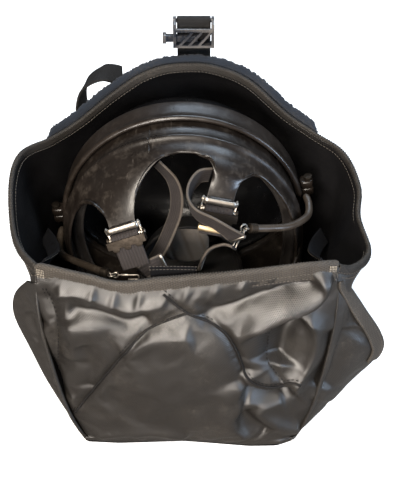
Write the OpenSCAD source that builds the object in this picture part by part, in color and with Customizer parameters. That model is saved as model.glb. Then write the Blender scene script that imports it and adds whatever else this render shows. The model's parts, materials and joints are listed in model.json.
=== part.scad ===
// Full face respirator stowed in its open carry pouch.
// Row frame in millimetres: +Z up, the pouch mouth faces -Y, the origin is on the floor
// under the middle of the pouch. The facepiece has a frame of its own: x across the face,
// +y out through the visor, z up the face, origin at the centre of the lens circle.

/* [Facepiece] */
// Radius of the upper half of the lens opening
lens_r = 86; // [84:0.5:88]
// Height of the lens opening below its centre
lens_low = 58; // [56:1:60]
// Height of the rubber face blank below the lens centre
chin_low = 118; // [116:1:119]
// How far the visor bulges out of its frame
visor_bulge = 50; // [44:1:50]
// Wall of the moulded rubber face blank
rubber = 3; // [2.5:0.5:3]
// Lean of the stowed facepiece to one side, in degrees
lean = 8; // [6:1:9]

/* [Harness] */
// Width of the harness webbing
strap_w = 20; // [18:1:20]
// Thickness of the harness webbing
strap_t = 1.8; // [1.4:0.2:2]

/* [Pouch] */
// Thickness of the coated fabric with its lining
cloth = 3; // [2:0.5:3]
// Height of the highest point of the mouth
mouth_top = 236; // [234:1:238]
// Outward bulge of the pouch back at mid height
back_bulge = 27; // [25:1:29]
// Outward bulge of the pouch front at mid height
front_bulge = 12; // [8:1:14]

/* [Hidden] */
SEG = 64;
$fn = 40;

// Stowed place of the facepiece frame
face_at = [-1, 28, 138];

// Rubber face blank along y, from its open rear edge to the lens frame
blank_y = [-33, 10];

// Front wall of the blank, between the lens and the chin
wall_y = [4, 8];

// Lens frame: where it starts and ends along y, its wall and the gap where its halves meet
frame_y = [2, 22];
frame_d = 5.5;
split_z = 8;
split_gap = 0.6;
fit_gap = 0.3;

// Inlet port, on the chin below the visor
port_z = -90;
port_bore = 19;
port_wall = 3;
port_flange = 24.5;
port_y = [3, 37];

// Exhalation valve, under the chin
exhale_y = -14;
exhale_r = 15;

// Voice diaphragm, beside the port
voice_at = [-43, -74];
voice_r = 13;

// Strap buckles: roller between two side plates, hung from a bar in the tab's hem
roller_len = strap_w + 2;
roller_r = 2;
bar_r = 1.2;
pin_r = 1;
pin_gap = 0.05;
plate_t = 1.2;
plate_x = roller_len / 2 + 0.2;
lever_x = plate_x + plate_t + 0.3;
hem_r = 2.4;
link_drop = 7.2;
wrap_gap = 0.1;

// ---------------------------------------------------------------- curves and skins

// Catmull-Rom point between b and c
function between(a, b, c, d, t) =
    0.5 * (2 * b + (c - a) * t + (2 * a - 5 * b + 4 * c - d) * t * t
        + (3 * b - a - 3 * c + d) * t * t * t);

// Open curve through the points p, n steps to a span
function curve(p, n) = concat(
    [for (i = [0:len(p) - 2], k = [0:n - 1])
        between(p[max(i - 1, 0)], p[i], p[i + 1], p[min(i + 2, len(p) - 1)], k / n)],
    [p[len(p) - 1]]);

function unit(v) = v / norm(v);

// Direction of a path at its point i
function heading(p, i) = unit(p[min(i + 1, len(p) - 1)] - p[max(i - 1, 0)]);

// Closed solid through rings of equal length, capped at both ends
module skin(rings) {
    n = len(rings[0]);
    m = len(rings);
    sides = [for (j = [0:m - 2], i = [0:n - 1], half = [0, 1])
        let (a = j * n + i, b = j * n + (i + 1) % n)
        half == 0 ? [a, a + n, b + n] : [a, b + n, b]];
    caps = [[for (i = [0:n - 1]) i], [for (i = [n - 1:-1:0]) (m - 1) * n + i]];
    polyhedron([for (r = rings) each r], concat(sides, caps));
}

// Closed solid between an outer and an inner grid of points, rows of equal length
module patch(outer, inner) {
    m = len(outer);
    n = len(outer[0]);
    o = m * n;
    faces = [
        for (j = [0:m - 2], i = [0:n - 2]) let (a = j * n + i) each [
            [a, a + n, a + n + 1], [a, a + n + 1, a + 1],
            [o + a, o + a + n + 1, o + a + n], [o + a, o + a + 1, o + a + n + 1]],
        for (i = [0:n - 2]) let (a = (m - 1) * n + i) each [
            [a, o + a, o + a + 1], [a, o + a + 1, a + 1],
            [i, i + 1, o + i + 1], [i, o + i + 1, o + i]],
        for (j = [0:m - 2]) let (a = j * n, b = j * n + n - 1) each [
            [o + a, o + a + n, a + n], [o + a, a + n, a],
            [b, b + n, o + b + n], [b, o + b + n, o + b]]];
    polyhedron([for (r = concat(outer, inner)) each r], faces);
}

// Flat strap along a path; side is the direction across it, one for all or one per point
module ribbon(path, side, w, t) {
    rings = [for (i = [0:len(path) - 1])
        let (across = is_list(side[0]) ? side[i] : side,
            along = heading(path, i),
            face = unit(cross(along, across)),
            edge = cross(face, along))
        [path[i] + edge * w / 2 + face * t / 2, path[i] - edge * w / 2 + face * t / 2,
            path[i] - edge * w / 2 - face * t / 2, path[i] + edge * w / 2 - face * t / 2]];
    skin(rings);
}

// Round cord along a path
module cord(path, side, r, n = 12) {
    rings = [for (i = [0:len(path) - 1])
        let (along = heading(path, i),
            face = unit(cross(along, side)),
            edge = cross(face, along))
        [for (k = [0:n - 1]) path[i] + r * (cos(360 * k / n) * edge + sin(360 * k / n) * face)]];
    skin(rings);
}

module tube(r_out, r_in, h) {
    difference() {
        cylinder(r = r_out, h = h);
        translate([0, 0, -1]) cylinder(r = r_in, h = h + 2);
    }
}

// ---------------------------------------------------------------- facepiece outlines

// Point of the facepiece outline: round above the lens centre, drawn out by low below it
function face_point(a, d, low) =
    [(lens_r + d) * cos(a), (sin(a) > 0 ? lens_r + d : low + d) * sin(a)];
function face_outline(d, low) = [for (i = [0:SEG - 1]) face_point(360 * i / SEG, d, low)];

// Slab of that outline from y0 to y1
module face_slab(y0, y1, d, low) {
    translate([0, y1, 0]) rotate([90, 0, 0]) linear_extrude(y1 - y0)
        polygon(face_outline(d, low));
}

// Band between two offsets of the outline
module face_band(y0, y1, d_out, d_in, low) {
    difference() {
        face_slab(y0, y1, d_out, low);
        face_slab(y0 - 1, y1 + 1, d_in, low);
    }
}

// Turns a module drawn along +z so that it points along +y, and back to its y place
module along_y(y) { translate([0, y, 0]) rotate([-90, 0, 0]) children(); }

module stowed() { translate(face_at) rotate([0, -lean, 0]) children(); }

// ---------------------------------------------------------------- face blank and seal

// Buckle bars: middle of the bar, its tilt about y and the lean of the hanging buckle about x
LEFT_TEMPLE = [[-33.6, -69, 51.7], -13, -22];
RIGHT_TEMPLE = [[34.5, -57, 55.2], 21, -17];

// Cheek bars stand upright beside the cheeks, s is -1 on the left
cheek_bar = [lens_r - 9.5, -48, -35];

module in_buckle(b) { translate(b[0]) rotate([0, b[1], 0]) rotate([b[2], 0, 0]) children(); }
module in_cheek_buckle(s) {
    multmatrix([[0, s, 0, s * cheek_bar[0]], [0, 0, 1, cheek_bar[1]], [s, 0, 0, cheek_bar[2]]])
        children();
}

// Hem round a buckle bar, drawn in the frame of the buckle
module hem() {
    rotate([0, 90, 0]) cylinder(r = hem_r, h = roller_len - 2, center = true);
}
module hem_bore() {
    rotate([0, 90, 0]) cylinder(r = bar_r + pin_gap, h = roller_len + 20, center = true);
}

// Rubber tab that narrows from the edge of the face blank to the hem of a buckle
module tab(path, tilts, widths) {
    dense = curve(path, 3);
    last = len(dense) - 1;
    rings = [for (i = [0:last])
        let (w = widths[0] + (widths[1] - widths[0]) * i / last,
            tilt = tilts[0] + (tilts[1] - tilts[0]) * i / last,
            along = heading(dense, i),
            face = unit(cross(along, [cos(tilt), 0, -sin(tilt)])),
            edge = cross(face, along))
        [dense[i] + edge * w / 2 + face, dense[i] - edge * w / 2 + face,
            dense[i] - edge * w / 2 - face, dense[i] + edge * w / 2 - face]];
    skin(rings);
}

module temple_tab(b, path, root_tilt, root_w) {
    difference() {
        union() {
            tab(concat(path, [b[0]]), [root_tilt, b[1]], [root_w, roller_len - 3]);
            in_buckle(b) hem();
        }
        in_buckle(b) hem_bore();
    }
}

module cheek_tab(s) {
    difference() {
        union() {
            in_cheek_buckle(s) hem();
            translate([s * cheek_bar[0] - rubber / 2, cheek_bar[1], cheek_bar[2] - roller_len / 2 + 1])
                cube([rubber, 20, roller_len - 2]);
            translate([s * (cheek_bar[0] + 0.5) - 2.3, -31, cheek_bar[2] - roller_len / 2 + 1])
                cube([4.6, 5, roller_len - 2]);
        }
        in_cheek_buckle(s) hem_bore();
    }
}

module face_blank() {
    color([0.13, 0.11, 0.1]) {
        difference() {
            union() {
                face_band(blank_y[0], blank_y[1], 0, -rubber, chin_low);
                face_band(-22, -17, 3, -1, chin_low);
                face_band(wall_y[1] - 1, frame_y[1] - 2, 0, -rubber, lens_low);
                difference() {
                    face_slab(wall_y[0], wall_y[1], -rubber / 2, chin_low);
                    face_slab(wall_y[0] - 1, wall_y[1] + 1, -rubber, lens_low);
                }
            }
            translate([0, 0, port_z]) along_y(0) cylinder(r = port_bore + port_wall + 1, h = 20);
            translate([voice_at[0], 0, voice_at[1]]) along_y(0) cylinder(r = voice_r, h = 20);
            translate([0, exhale_y, -chin_low - 5]) cylinder(r = exhale_r - 1, h = 12);
            translate([0, exhale_y, -chin_low - 5]) cylinder(r = exhale_r + 2.5, h = 4.9);
        }
        for (s = [-1, 1]) cheek_tab(s);
        temple_tab(LEFT_TEMPLE, [[-39, -20, 71.5], [-39, -38, 70], [-36, -57, 62]], -28, 46);
        temple_tab(RIGHT_TEMPLE, [[41.5, -20, 70], [42, -34, 69], [38, -47, 63]], 30, 44);
    }
}

// Reflex lip that turns inwards from the rear edge and seals on the face
module face_seal() {
    color([0.1, 0.09, 0.09]) difference() {
        face_band(-16, -14, -rubber - 0.2, -rubber - 9, chin_low);
        translate([0, exhale_y, -chin_low]) cylinder(r = exhale_r + 2.5, h = 20);
    }
}

// ---------------------------------------------------------------- visor and frame

function visor_ring(a, d, y0, depth) =
    let (p = 2 / 2.6, s = pow(cos(a), p), y = y0 + depth * pow(sin(a), p))
    [for (i = [0:SEG - 1]) let (q = face_point(360 * i / SEG, d, lens_low) * max(s, 0.02))
        [q[0], y, q[1]]];

module visor() {
    step = 15;
    outer = [for (a = [88:-step:13]) visor_ring(a, -rubber - 0.6, frame_y[1], visor_bulge)];
    inner = [for (a = [13:step:88]) visor_ring(a, -rubber - 3.1, frame_y[1], visor_bulge - 2.5)];
    skirt = [visor_ring(0, -rubber - 0.6, 12, 0), visor_ring(0, -rubber - 3.1, 12, 0)];
    color([0.05, 0.05, 0.06]) skin(concat(outer, skirt, inner));
}

module frame_half(upper) {
    reach = 300;
    difference() {
        intersection() {
            union() {
                face_band(upper ? frame_y[0] : blank_y[1] + fit_gap, frame_y[1], frame_d, fit_gap,
                    lens_low);
                for (s = [-1, 1]) translate([s * (lens_r + frame_d + 3.5) - 5, 7, split_z - 6])
                    cube([10, 10, 12]);
            }
            translate([-reach / 2, -reach / 2, upper ? split_z + split_gap / 2
                : split_z - split_gap / 2 - reach]) cube(reach);
        }
        for (s = [-1, 1]) translate([s * (lens_r + frame_d + 5), 12, split_z - 10])
            cylinder(r = 2.1, h = 20);
    }
}

module lens_frame_upper() { color([0.16, 0.13, 0.11]) frame_half(true); }
module lens_frame_lower() { color([0.16, 0.13, 0.11]) frame_half(false); }

// One screw with its nut on each side of the frame
module frame_screws() {
    color("silver") for (s = [-1, 1]) translate([s * (lens_r + frame_d + 5), 12, split_z]) {
        translate([0, 0, -7]) cylinder(r = 1.9, h = 14);
        translate([0, 0, 6.05]) cylinder(r = 3.2, h = 2.4);
        translate([0, 0, -8.6]) cylinder(r = 3.4, h = 2.5, $fn = 6);
    }
}

// ---------------------------------------------------------------- nose cup

// Rings of the cup: y, half width, height above and depth below the cup's own centre line
CUP_RINGS = [[30, 16, 10, 9], [12, 29, 30, 11], [2.5, 34, 36, 13.5], [-2, 36, 39, 22], [-16, 40, 43, 29]];
cup_z = -40;
cup_wall = 2.6;
cup_n = 32;
nose_at = [17, 0, -30];
nose_r = 6;

function cup_ring(c, d) =
    [for (i = [0:cup_n - 1]) let (a = 360 * i / cup_n)
        [(c[1] - d) * cos(a), c[0] - (c[0] > 20 ? d : 0), cup_z + ((sin(a) > 0 ? c[2] : c[3]) - d) * sin(a)]];

module on_nose_valves() { for (s = [-1, 1]) translate([s * nose_at[0], 0, nose_at[2]]) children(); }

module nose_cup() {
    color([0.3, 0.29, 0.27]) difference() {
        skin(concat([for (c = CUP_RINGS) cup_ring(c, 0)],
            [for (i = [len(CUP_RINGS) - 1:-1:0]) cup_ring(CUP_RINGS[i], cup_wall)]));
        on_nose_valves() along_y(4) cylinder(r = nose_r + 0.1, h = 30);
    }
}

module nose_valve_seats() {
    color([0.2, 0.2, 0.2]) on_nose_valves() {
        along_y(10) tube(nose_r, nose_r - 1.3, 12);
        along_y(10) difference() {
            cylinder(r = nose_r - 1, h = 1.5);
            for (k = [0:3]) rotate(90 * k + 45) translate([2.8, 0, -1]) cylinder(r = 1.3, h = 4);
        }
    }
}

// Flap disc that lifts off the spider of its seat
module nose_valve(s) {
    color([0.75, 0.74, 0.7]) translate([s * nose_at[0], 0, nose_at[2]])
        along_y(8.6) cylinder(r = nose_r - 1, h = 1.2);
}

// ---------------------------------------------------------------- inlet port

module port_housing() {
    len_y = port_y[1] - port_y[0];
    color([0.08, 0.08, 0.08]) translate([0, 0, port_z]) along_y(port_y[0]) difference() {
        union() {
            cylinder(r = port_bore + port_wall, h = len_y);
            cylinder(r = port_flange, h = 0.9);
        }
        translate([0, 0, 10]) cylinder(r = port_bore, h = len_y);
        translate([0, 0, 8]) cylinder(r = port_bore - 1, h = len_y);
        translate([0, 0, 6.5]) cylinder(r = port_bore - 3, h = len_y);
        for (k = [0:5]) rotate(60 * k) translate([9, 0, -1]) cylinder(r = 3.6, h = 20);
    }
}

module port_clamp_ring() {
    color("silver") translate([0, 0, port_z]) along_y(8.1)
        tube(port_bore + port_wall + 2.2, port_bore + port_wall + 0.05, 6);
}

module port_gasket() {
    color([0.15, 0.15, 0.15]) translate([0, 0, port_z]) along_y(11.05)
        tube(port_bore - 1.1, port_bore - 3, 1.9);
}

module inlet_valve() {
    color([0.75, 0.74, 0.7]) translate([0, 0, port_z]) along_y(1.2) cylinder(r = 13, h = 1.4);
}

// ---------------------------------------------------------------- exhalation valve

module exhale_at() { translate([0, exhale_y, -chin_low + rubber]) children(); }

module exhale_seat() {
    color([0.08, 0.08, 0.08]) exhale_at() difference() {
        union() {
            translate([0, 0, -6]) cylinder(r = exhale_r - 1.2, h = 10.6);
            translate([0, 0, 3.2]) cylinder(r = exhale_r + 1, h = 1.4);
        }
        translate([0, 0, -7]) cylinder(r = exhale_r - 3.5, h = 10.1);
        for (k = [0:3]) rotate(90 * k) translate([6.4, 0, 0]) cylinder(r = 2.6, h = 8);
    }
}

module exhale_valve() {
    color([0.75, 0.74, 0.7]) exhale_at() translate([0, 0, 1.7]) cylinder(r = 10.5, h = 1.2);
}

module exhale_spring() {
    turns = 4;
    steps = 14;
    low = -5.6;
    rise = 6.9;
    path = [for (i = [0:turns * steps]) let (a = 360 * i / steps)
        [5 * cos(a), 5 * sin(a), low + rise * i / (turns * steps)]];
    color("silver") exhale_at() cord(path, [0, 0, 1], 0.35, 6);
}

module exhale_cover() {
    color([0.1, 0.1, 0.1]) exhale_at() difference() {
        translate([0, 0, -9.2]) cylinder(r = exhale_r + 1.5, h = 5.6);
        translate([0, 0, -6.05]) cylinder(r = exhale_r - 1.15, h = 10);
        for (k = [0:7]) rotate(45 * k + 22.5) translate([9.5, 0, -10]) cylinder(r = 2, h = 5);
    }
}

// ---------------------------------------------------------------- voice diaphragm

module at_voice() { translate([voice_at[0], 0, voice_at[1]]) children(); }

module voice_diaphragm() {
    color([0.5, 0.5, 0.5]) at_voice() along_y(6) cylinder(r = voice_r - 0.3, h = 0.6);
}

module voice_ring() {
    color([0.08, 0.08, 0.08]) at_voice() along_y(8.1) difference() {
        cylinder(r = voice_r + 3, h = 3);
        translate([0, 0, -1]) cylinder(r = voice_r - 2, h = 2);
        for (k = [0:5]) rotate(60 * k) translate([6.5, 0, -1]) cylinder(r = 1.8, h = 6);
    }
}

// ---------------------------------------------------------------- harness buckles

// Child shape repeated on both sides at x = +-d, drawn from x = 0 outwards
module both_sides(d) {
    for (s = [0, 1]) mirror([s, 0, 0]) translate([d, 0, 0]) rotate([0, 90, 0]) children();
}

// Bar, roller pin and the side plates that join them
module buckle_link() {
    color("silver") {
        rotate([0, 90, 0]) cylinder(r = bar_r, h = 2 * (plate_x + plate_t) + 1, center = true);
        translate([0, 0, -link_drop]) rotate([0, 90, 0])
            cylinder(r = pin_r, h = 2 * (lever_x + plate_t) + 0.8, center = true);
        both_sides(plate_x) hull() {
            cylinder(r = 2.2, h = plate_t, $fn = 32);
            translate([link_drop, 0, 0]) cylinder(r = 1.9, h = plate_t, $fn = 32);
        }
    }
}

module buckle_roller() {
    color([0.7, 0.68, 0.62]) translate([-roller_len / 2, 0, -link_drop]) rotate([0, 90, 0])
        tube(roller_r, pin_r + pin_gap, roller_len);
}

// Release lever on the roller pin, with a scalloped lip that presses on the strap
module buckle_lever() {
    lip_y = roller_r + wrap_gap + strap_t + 0.4;
    lip_t = 1;
    lip_low = 5.5;
    teeth = 3;
    pitch = 2 * lever_x / teeth;
    color([0.6, 0.58, 0.54]) translate([0, 0, -link_drop]) {
        both_sides(lever_x) difference() {
            union() {
                cylinder(r = 2.3, h = plate_t);
                translate([0, -lip_y - lip_t, 0]) cube([lip_low, lip_y + lip_t, plate_t]);
            }
            translate([0, 0, -1]) cylinder(r = pin_r + pin_gap, h = plate_t + 2);
        }
        translate([-lever_x - plate_t, -lip_y - lip_t, -lip_low])
            cube([2 * (lever_x + plate_t), lip_t, lip_low]);
        for (k = [0:teeth - 1]) translate([(k - (teeth - 1) / 2) * pitch, -lip_y, -lip_low])
            rotate([90, 0, 0]) cylinder(r = pitch / 3.2, h = lip_t);
    }
}

// ---------------------------------------------------------------- harness straps

// Sleeve of webbing round a roller, with a short straight run down its front
module strap_wrap(run) {
    inside = roller_r + wrap_gap;
    translate([-strap_w / 2, 0, -link_drop]) {
        rotate([0, 90, 0]) tube(inside + strap_t, inside, strap_w);
        translate([0, -inside - strap_t, -run]) cube([strap_w, strap_t, run]);
    }
}

module left_temple_strap() {
    color([0.17, 0.14, 0.13]) in_buckle(LEFT_TEMPLE) strap_wrap(22);
}

module right_temple_strap() {
    color([0.17, 0.14, 0.13]) in_buckle(RIGHT_TEMPLE) strap_wrap(17);
}

// Brass slide on the end of the right strap
module strap_slide() {
    hole = [strap_w + 0.8, strap_t + 0.6];
    color([0.62, 0.5, 0.3]) in_buckle(RIGHT_TEMPLE)
        translate([0, -roller_r - wrap_gap - strap_t / 2, -22]) difference() {
            translate([-hole[0] / 2 - 1, -hole[1] / 2 - 0.8, 0]) cube([hole[0] + 2, hole[1] + 1.6, 4]);
            translate([-hole[0] / 2, -hole[1] / 2, -1]) cube([hole[0], hole[1], 6]);
        }
}

// Crown straps: the left one hangs in a long loop, the right one passes in front of its buckle
module crown_straps() {
    left = [[-21, -24, 70], [-8, -30, 69], [4, -36, 61], [10, -42, 48], [8, -50, 32], [-2, -58, 20],
        [-14, -66, 12], [-24, -72, 8]];
    right = [[14.8, -44, 57], [13.8, -54, 60], [14.8, -64, 61], [20.2, -73, 58], [30.3, -78, 53],
        [38.5, -80, 46], [44.5, -79, 38]];
    color([0.17, 0.14, 0.13]) {
        ribbon(curve(left, 4), [0.25, -0.9, 0.35], strap_w * 0.7, strap_t);
        ribbon(curve(right, 4), [0, -0.3, 0.95], strap_w * 0.65, strap_t);
    }
}

module cheek_straps() {
    run = 10;
    y_end = cheek_bar[1] - link_drop - run;
    x_run = cheek_bar[0] - roller_r - wrap_gap - strap_t / 2;
    color([0.17, 0.14, 0.13]) for (s = [-1, 1]) {
        in_cheek_buckle(s) strap_wrap(run);
        ribbon(curve([[s * x_run, y_end, cheek_bar[2]], [s * (x_run - 3), y_end - 3, cheek_bar[2]],
            [s * (x_run - 14), y_end - 6, cheek_bar[2] - 2], [s * (x_run - 30), y_end - 5, cheek_bar[2] - 4]],
            4), [0, 0, s], strap_w, strap_t);
    }
}

// Woven crown pad, folded into the facepiece
module head_pad() {
    rows = [[-32, 0.7], [-33, 0.93], [-36, 1], [-39, 0.93], [-40.5, 0.7]];
    color([0.24, 0.21, 0.19])
        skin([for (row = rows) [for (i = [0:31]) let (a = 360 * i / 32)
            [-2 + 24 * row[1] * cos(a), row[0], -8 + 20 * row[1] * sin(a)]]]);
}

// ---------------------------------------------------------------- side cords and hooks

LEFT_CORD = [[-93.5, -1, 1], [-95.5, -12, 0], [-93, -30, 2], [-78, -49.5, 9], [-50, -77, 18]];
RIGHT_CORD = [[94.5, -1, 6], [96.5, -12, 7], [94, -29, 9], [80, -44, 14], [52, -60, 31]];
cord_r = 3.1;
ring_r = 2.6;
wire_r = 0.6;
eye_r = 1.6;
eye_step = 2.4;

// Directions of the two hooks, away from their rings
LEFT_HOOK = unit([0.99, -0.12, -0.02]);
RIGHT_HOOK = unit([-0.49, -0.5, -0.72]);

function end_heading(path) = heading(curve(path, 6), 6 * (len(path) - 1));
function ring_at(path) = path[len(path) - 1] + (eye_step + ring_r) * end_heading(path);
function ring_normal(path, hook) = unit(cross(end_heading(path), hook));

// Frame with its x axis along x and its z axis along z
module in_frame(at, x, z) {
    y = cross(z, x);
    multmatrix([[x[0], y[0], z[0], at[0]], [x[1], y[1], z[1], at[1]], [x[2], y[2], z[2], at[2]]])
        children();
}

module wire_ring(r, wire) { rotate_extrude() translate([r, 0]) circle(r = wire, $fn = 24); }

module side_cord(path, hook) {
    dense = curve(path, 6);
    last = path[len(path) - 1];
    back = end_heading(path);
    color([0.2, 0.18, 0.16]) cord(dense, [0, 0, 1], cord_r);
    color([0.2, 0.18, 0.16]) cord([last - 5 * back, last + 0.5 * back], [0, 0, 1], cord_r + 0.7, 16);
    color("silver") in_frame(last + eye_step * back, back, cross(ring_normal(path, hook), back))
        wire_ring(eye_r, 0.5);
}

module hook_ring(path, hook) {
    color("silver") in_frame(ring_at(path), hook, ring_normal(path, hook)) wire_ring(ring_r, wire_r);
}

// Wire snap hook: eye round the ring, shank with a gate sleeve, and a return bend
module snap_hook(path, hook, reach) {
    eye = 1.9;
    bend = 1.6;
    sleeve = 5;
    normal = ring_normal(path, hook);
    color([0.85, 0.84, 0.8]) in_frame(ring_at(path) + ring_r * hook, hook, cross(hook, normal)) {
        wire_ring(eye, wire_r);
        translate([eye, 0, 0]) rotate([0, 90, 0]) cylinder(r = wire_r, h = reach - eye);
        translate([eye + 2, 0, 0]) rotate([0, 90, 0]) cylinder(r = 1, h = sleeve);
        translate([reach, -bend, 0]) rotate(-90) rotate_extrude(angle = 180)
            translate([bend, 0]) circle(r = wire_r, $fn = 24);
        translate([eye + 2 + sleeve, -2 * bend, 0]) rotate([0, 90, 0])
            cylinder(r = wire_r, h = reach - eye - 2 - sleeve);
    }
}

// ---------------------------------------------------------------- pouch

// Mouth of the pouch, counter-clockwise from above: the front rim, then round by the hood
FRONT_RIM = [[-99, -66, 168], [-86, -71, 169], [-64, -75, 166], [-42, -77, 161], [-11, -77, 165],
    [38, -76, 170], [72, -73, 173], [93, -70, 173], [104, -66, 170]];
HOOD_EDGE = [[104, -66, 170], [118, -58, 162], [131, -38, 160], [126, -10, 168], [128, 14, 177],
    [119, 42, 186], [98, 60, 192], [76, 71, 203], [48, 81, 225], [20, 85, 235],
    [-4, 85, mouth_top], [-28, 83, 231], [-54, 77, 216], [-80, 65, 199], [-100, 51, 193],
    [-119, 30, 195], [-124, 4, 189], [-121, -26, 173], [-113, -48, 169], [-99, -66, 168]];
LEVELS = 10;
bind_r = 2.3;
bind_lift = 3.3;
side_bulge = 8;
pouch_mid = [-2, 15];
base_half = [72, 86];

// Outline of the pouch floor below a mouth point, as a rounded rectangle
function base_under(p) =
    let (v = [(p[0] - pouch_mid[0]) / base_half[0], (p[1] - pouch_mid[1]) / base_half[1]],
        k = pow(pow(abs(v[0]), 4) + pow(abs(v[1]), 4), -0.25))
    [pouch_mid[0] + v[0] * k * base_half[0], pouch_mid[1] + v[1] * k * base_half[1]];

// Outward direction of the wall below a mouth point
function outward(p) = unit([(p[0] - pouch_mid[0]) / base_half[0], (p[1] - pouch_mid[1]) / base_half[1]]);

// Wall point at height share t below the mouth point p, moved outwards by d
function wall_point(p, t, d) =
    let (b = base_under(p), n = outward(p), full = 1 - pow(abs(2 * t - 1), 3),
        swell = (side_bulge + ((n[1] > 0 ? back_bulge : front_bulge) - side_bulge) * abs(n[1])) * full,
        q = b * (1 - t) + [p[0], p[1]] * t)
    [q[0] + n[0] * (swell + d), q[1] + n[1] * (swell + d), p[2] * t];

function wall_grid(mouth, t0, t1, rows, d) =
    [for (j = [0:rows]) let (t = t0 + (t1 - t0) * j / rows)
        [for (p = mouth) wall_point(p, t, d)]];

module wall(mouth, t0, t1, rows, d_out, d_in) {
    patch(wall_grid(mouth, t0, t1, rows, d_out), wall_grid(mouth, t0, t1, rows, d_in));
}

floor_share = 0.02;

module pouch_front() {
    color([0.12, 0.11, 0.1]) wall(curve(FRONT_RIM, 2), floor_share, 1, LEVELS, 0, -cloth);
}

module pouch_back() {
    color([0.08, 0.08, 0.09]) wall(curve(HOOD_EDGE, 2), floor_share, 1, LEVELS, 0, -cloth);
}

module pouch_floor() {
    loop = concat(curve(FRONT_RIM, 2), [for (i = [1:2 * len(HOOD_EDGE) - 3]) curve(HOOD_EDGE, 2)[i]]);
    color([0.1, 0.1, 0.1]) linear_extrude(3) polygon([for (p = loop) base_under(p)]);
}

// Stiffener that lies on the pouch floor
module base_board() {
    color([0.2, 0.2, 0.2]) translate([pouch_mid[0] - 55, pouch_mid[1] - 66, 3.2]) cube([110, 132, 2]);
}

function lifted(path, dz) = [for (p = path) p + [0, 0, dz]];

module front_rim_binding() {
    color([0.14, 0.13, 0.13]) cord(lifted(curve(FRONT_RIM, 2), bind_lift), [0, 0, 1], bind_r, 10);
}

module hood_edge_binding() {
    whole = curve(HOOD_EDGE, 2);
    inner = [for (i = [1:len(whole) - 2]) whole[i]];
    color([0.14, 0.13, 0.13]) cord(lifted(inner, bind_lift), [0, 0, 1], bind_r, 10);
}

// Pile band sewn round the outside of the hood, just below its edge
module hood_fleece_band() {
    top = [for (i = [6:14]) HOOD_EDGE[i]];
    color([0.13, 0.15, 0.19]) wall(curve(top, 2), 0.83, 0.97, 4, 3, 0.7);
}

// Loose gusset that stands out from the corner of the pouch, from its seam to the edge points
module ear(corner, edge) {
    n = len(edge) - 1;
    seam = [for (i = [0:n]) wall_point(corner, 0.95 - 0.9 * i / n, 4.5)];
    grid = [for (i = [0:n]) [for (k = [0:4])
        seam[i] + (edge[i] - seam[i]) * k / 4 - [0, 3 * sin(45 * k), 0]]];
    shift = [0, ear_t, 0];
    color([0.13, 0.12, 0.11]) patch(grid, [for (row = grid) [for (p = row) p - shift]]);
}

ear_t = 3;
RIGHT_EDGE = [[110, -60, 157], [129, -52, 120], [147, -45, 82], [145, -43, 60], [130, -44, 38],
    [108, -52, 16], [84, -64, 3]];
LEFT_EDGE = [[-107, -60, 153], [-119, -54, 134], [-122, -52, 112], [-114, -55, 84], [-104, -60, 56],
    [-91, -66, 28], [-80, -70, 4]];

module right_ear_panel() { ear(FRONT_RIM[len(FRONT_RIM) - 1], RIGHT_EDGE); }
module left_ear_panel() { ear(FRONT_RIM[0], LEFT_EDGE); }

// Hook-and-loop strips inside the two corners of the mouth
module closure_tape(s) {
    path = curve([[s * 99, -50, 158], [s * 93, -30, 148], [s * 97, -8, 140], [s * 104, 8, 136]], 3);
    color([0.06, 0.06, 0.07]) ribbon(path, [0, 0, 1], 14, 2);
}

module name_tab() {
    color([0.05, 0.05, 0.06]) translate([-22, -71.5, 158]) cube([31, 2.4, 10]);
}

// Webbing handle on the left of the hood
module carry_loop() {
    path = curve([[-74, 92, 176], [-80, 100, 192], [-76, 104, 208], [-62, 103, 218], [-48, 106, 214]], 4);
    color([0.08, 0.08, 0.09]) ribbon(path, [0.3, 0.9, 0.2], 18, 2);
}

// ---------------------------------------------------------------- closure strap and buckle

// Bar of the buckle in the hem of the closure strap
bar_at = [7, 106.5, 261.5];
closure_w = 25;
closure_hem = 3;
closure_bar_r = 1.5;
socket_half = closure_w / 2 + 0.6;
socket_low = 18;
latch_size = [26, 3.6, 5];

module closure_strap() {
    color([0.17, 0.15, 0.14]) translate(bar_at) translate([-closure_w / 2, 0, 0]) difference() {
        union() {
            translate([0, closure_hem - 2, -56]) cube([closure_w, 2, 56]);
            rotate([0, 90, 0]) cylinder(r = closure_hem, h = closure_w);
        }
        translate([-1, 0, 0]) rotate([0, 90, 0])
            cylinder(r = closure_bar_r + pin_gap, h = closure_w + 2);
    }
}

// Plastic socket on the bar: side cheeks, cross rails and slanted ribs in front of the latch
module buckle_socket() {
    wall = 2.2;
    front = -9.5;
    width = 2 * (socket_half + wall);
    color([0.1, 0.12, 0.16]) translate(bar_at) difference() {
        union() {
            rotate([0, 90, 0]) cylinder(r = closure_bar_r, h = 2 * socket_half + 1, center = true);
            for (s = [-1, 1]) translate([s * (socket_half + wall / 2), 0, 0]) {
                translate([-wall / 2, front, -socket_low]) cube([wall, 9.5, socket_low + 1.5]);
                rotate([0, 90, 0]) cylinder(r = 3, h = wall, center = true);
            }
            translate([-width / 2, front, -socket_low]) cube([width, 7, 2]);
            translate([-width / 2, front, -5]) cube([width, 1.8, 2.5]);
            for (k = [0:2]) translate([-socket_half + 1 + 7 * k, front, -socket_low + 1])
                rotate([0, 40, 0]) cube([1.8, 1.8, 16]);
        }
        translate([-socket_half - wall - 1, front + 2.2, -14.5])
            cube([wall + 2, latch_size[1] + 0.4, latch_size[2] + 0.4]);
    }
}

// Latch that slides in through the left cheek of the socket
module buckle_latch() {
    color([0.12, 0.14, 0.18]) translate(bar_at) translate([-socket_half - 10, -7.1, -14.3]) {
        cube(latch_size);
        translate([0, -1, -1]) cube([2.5, latch_size[1] + 2, latch_size[2] + 2]);
    }
}

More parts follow.
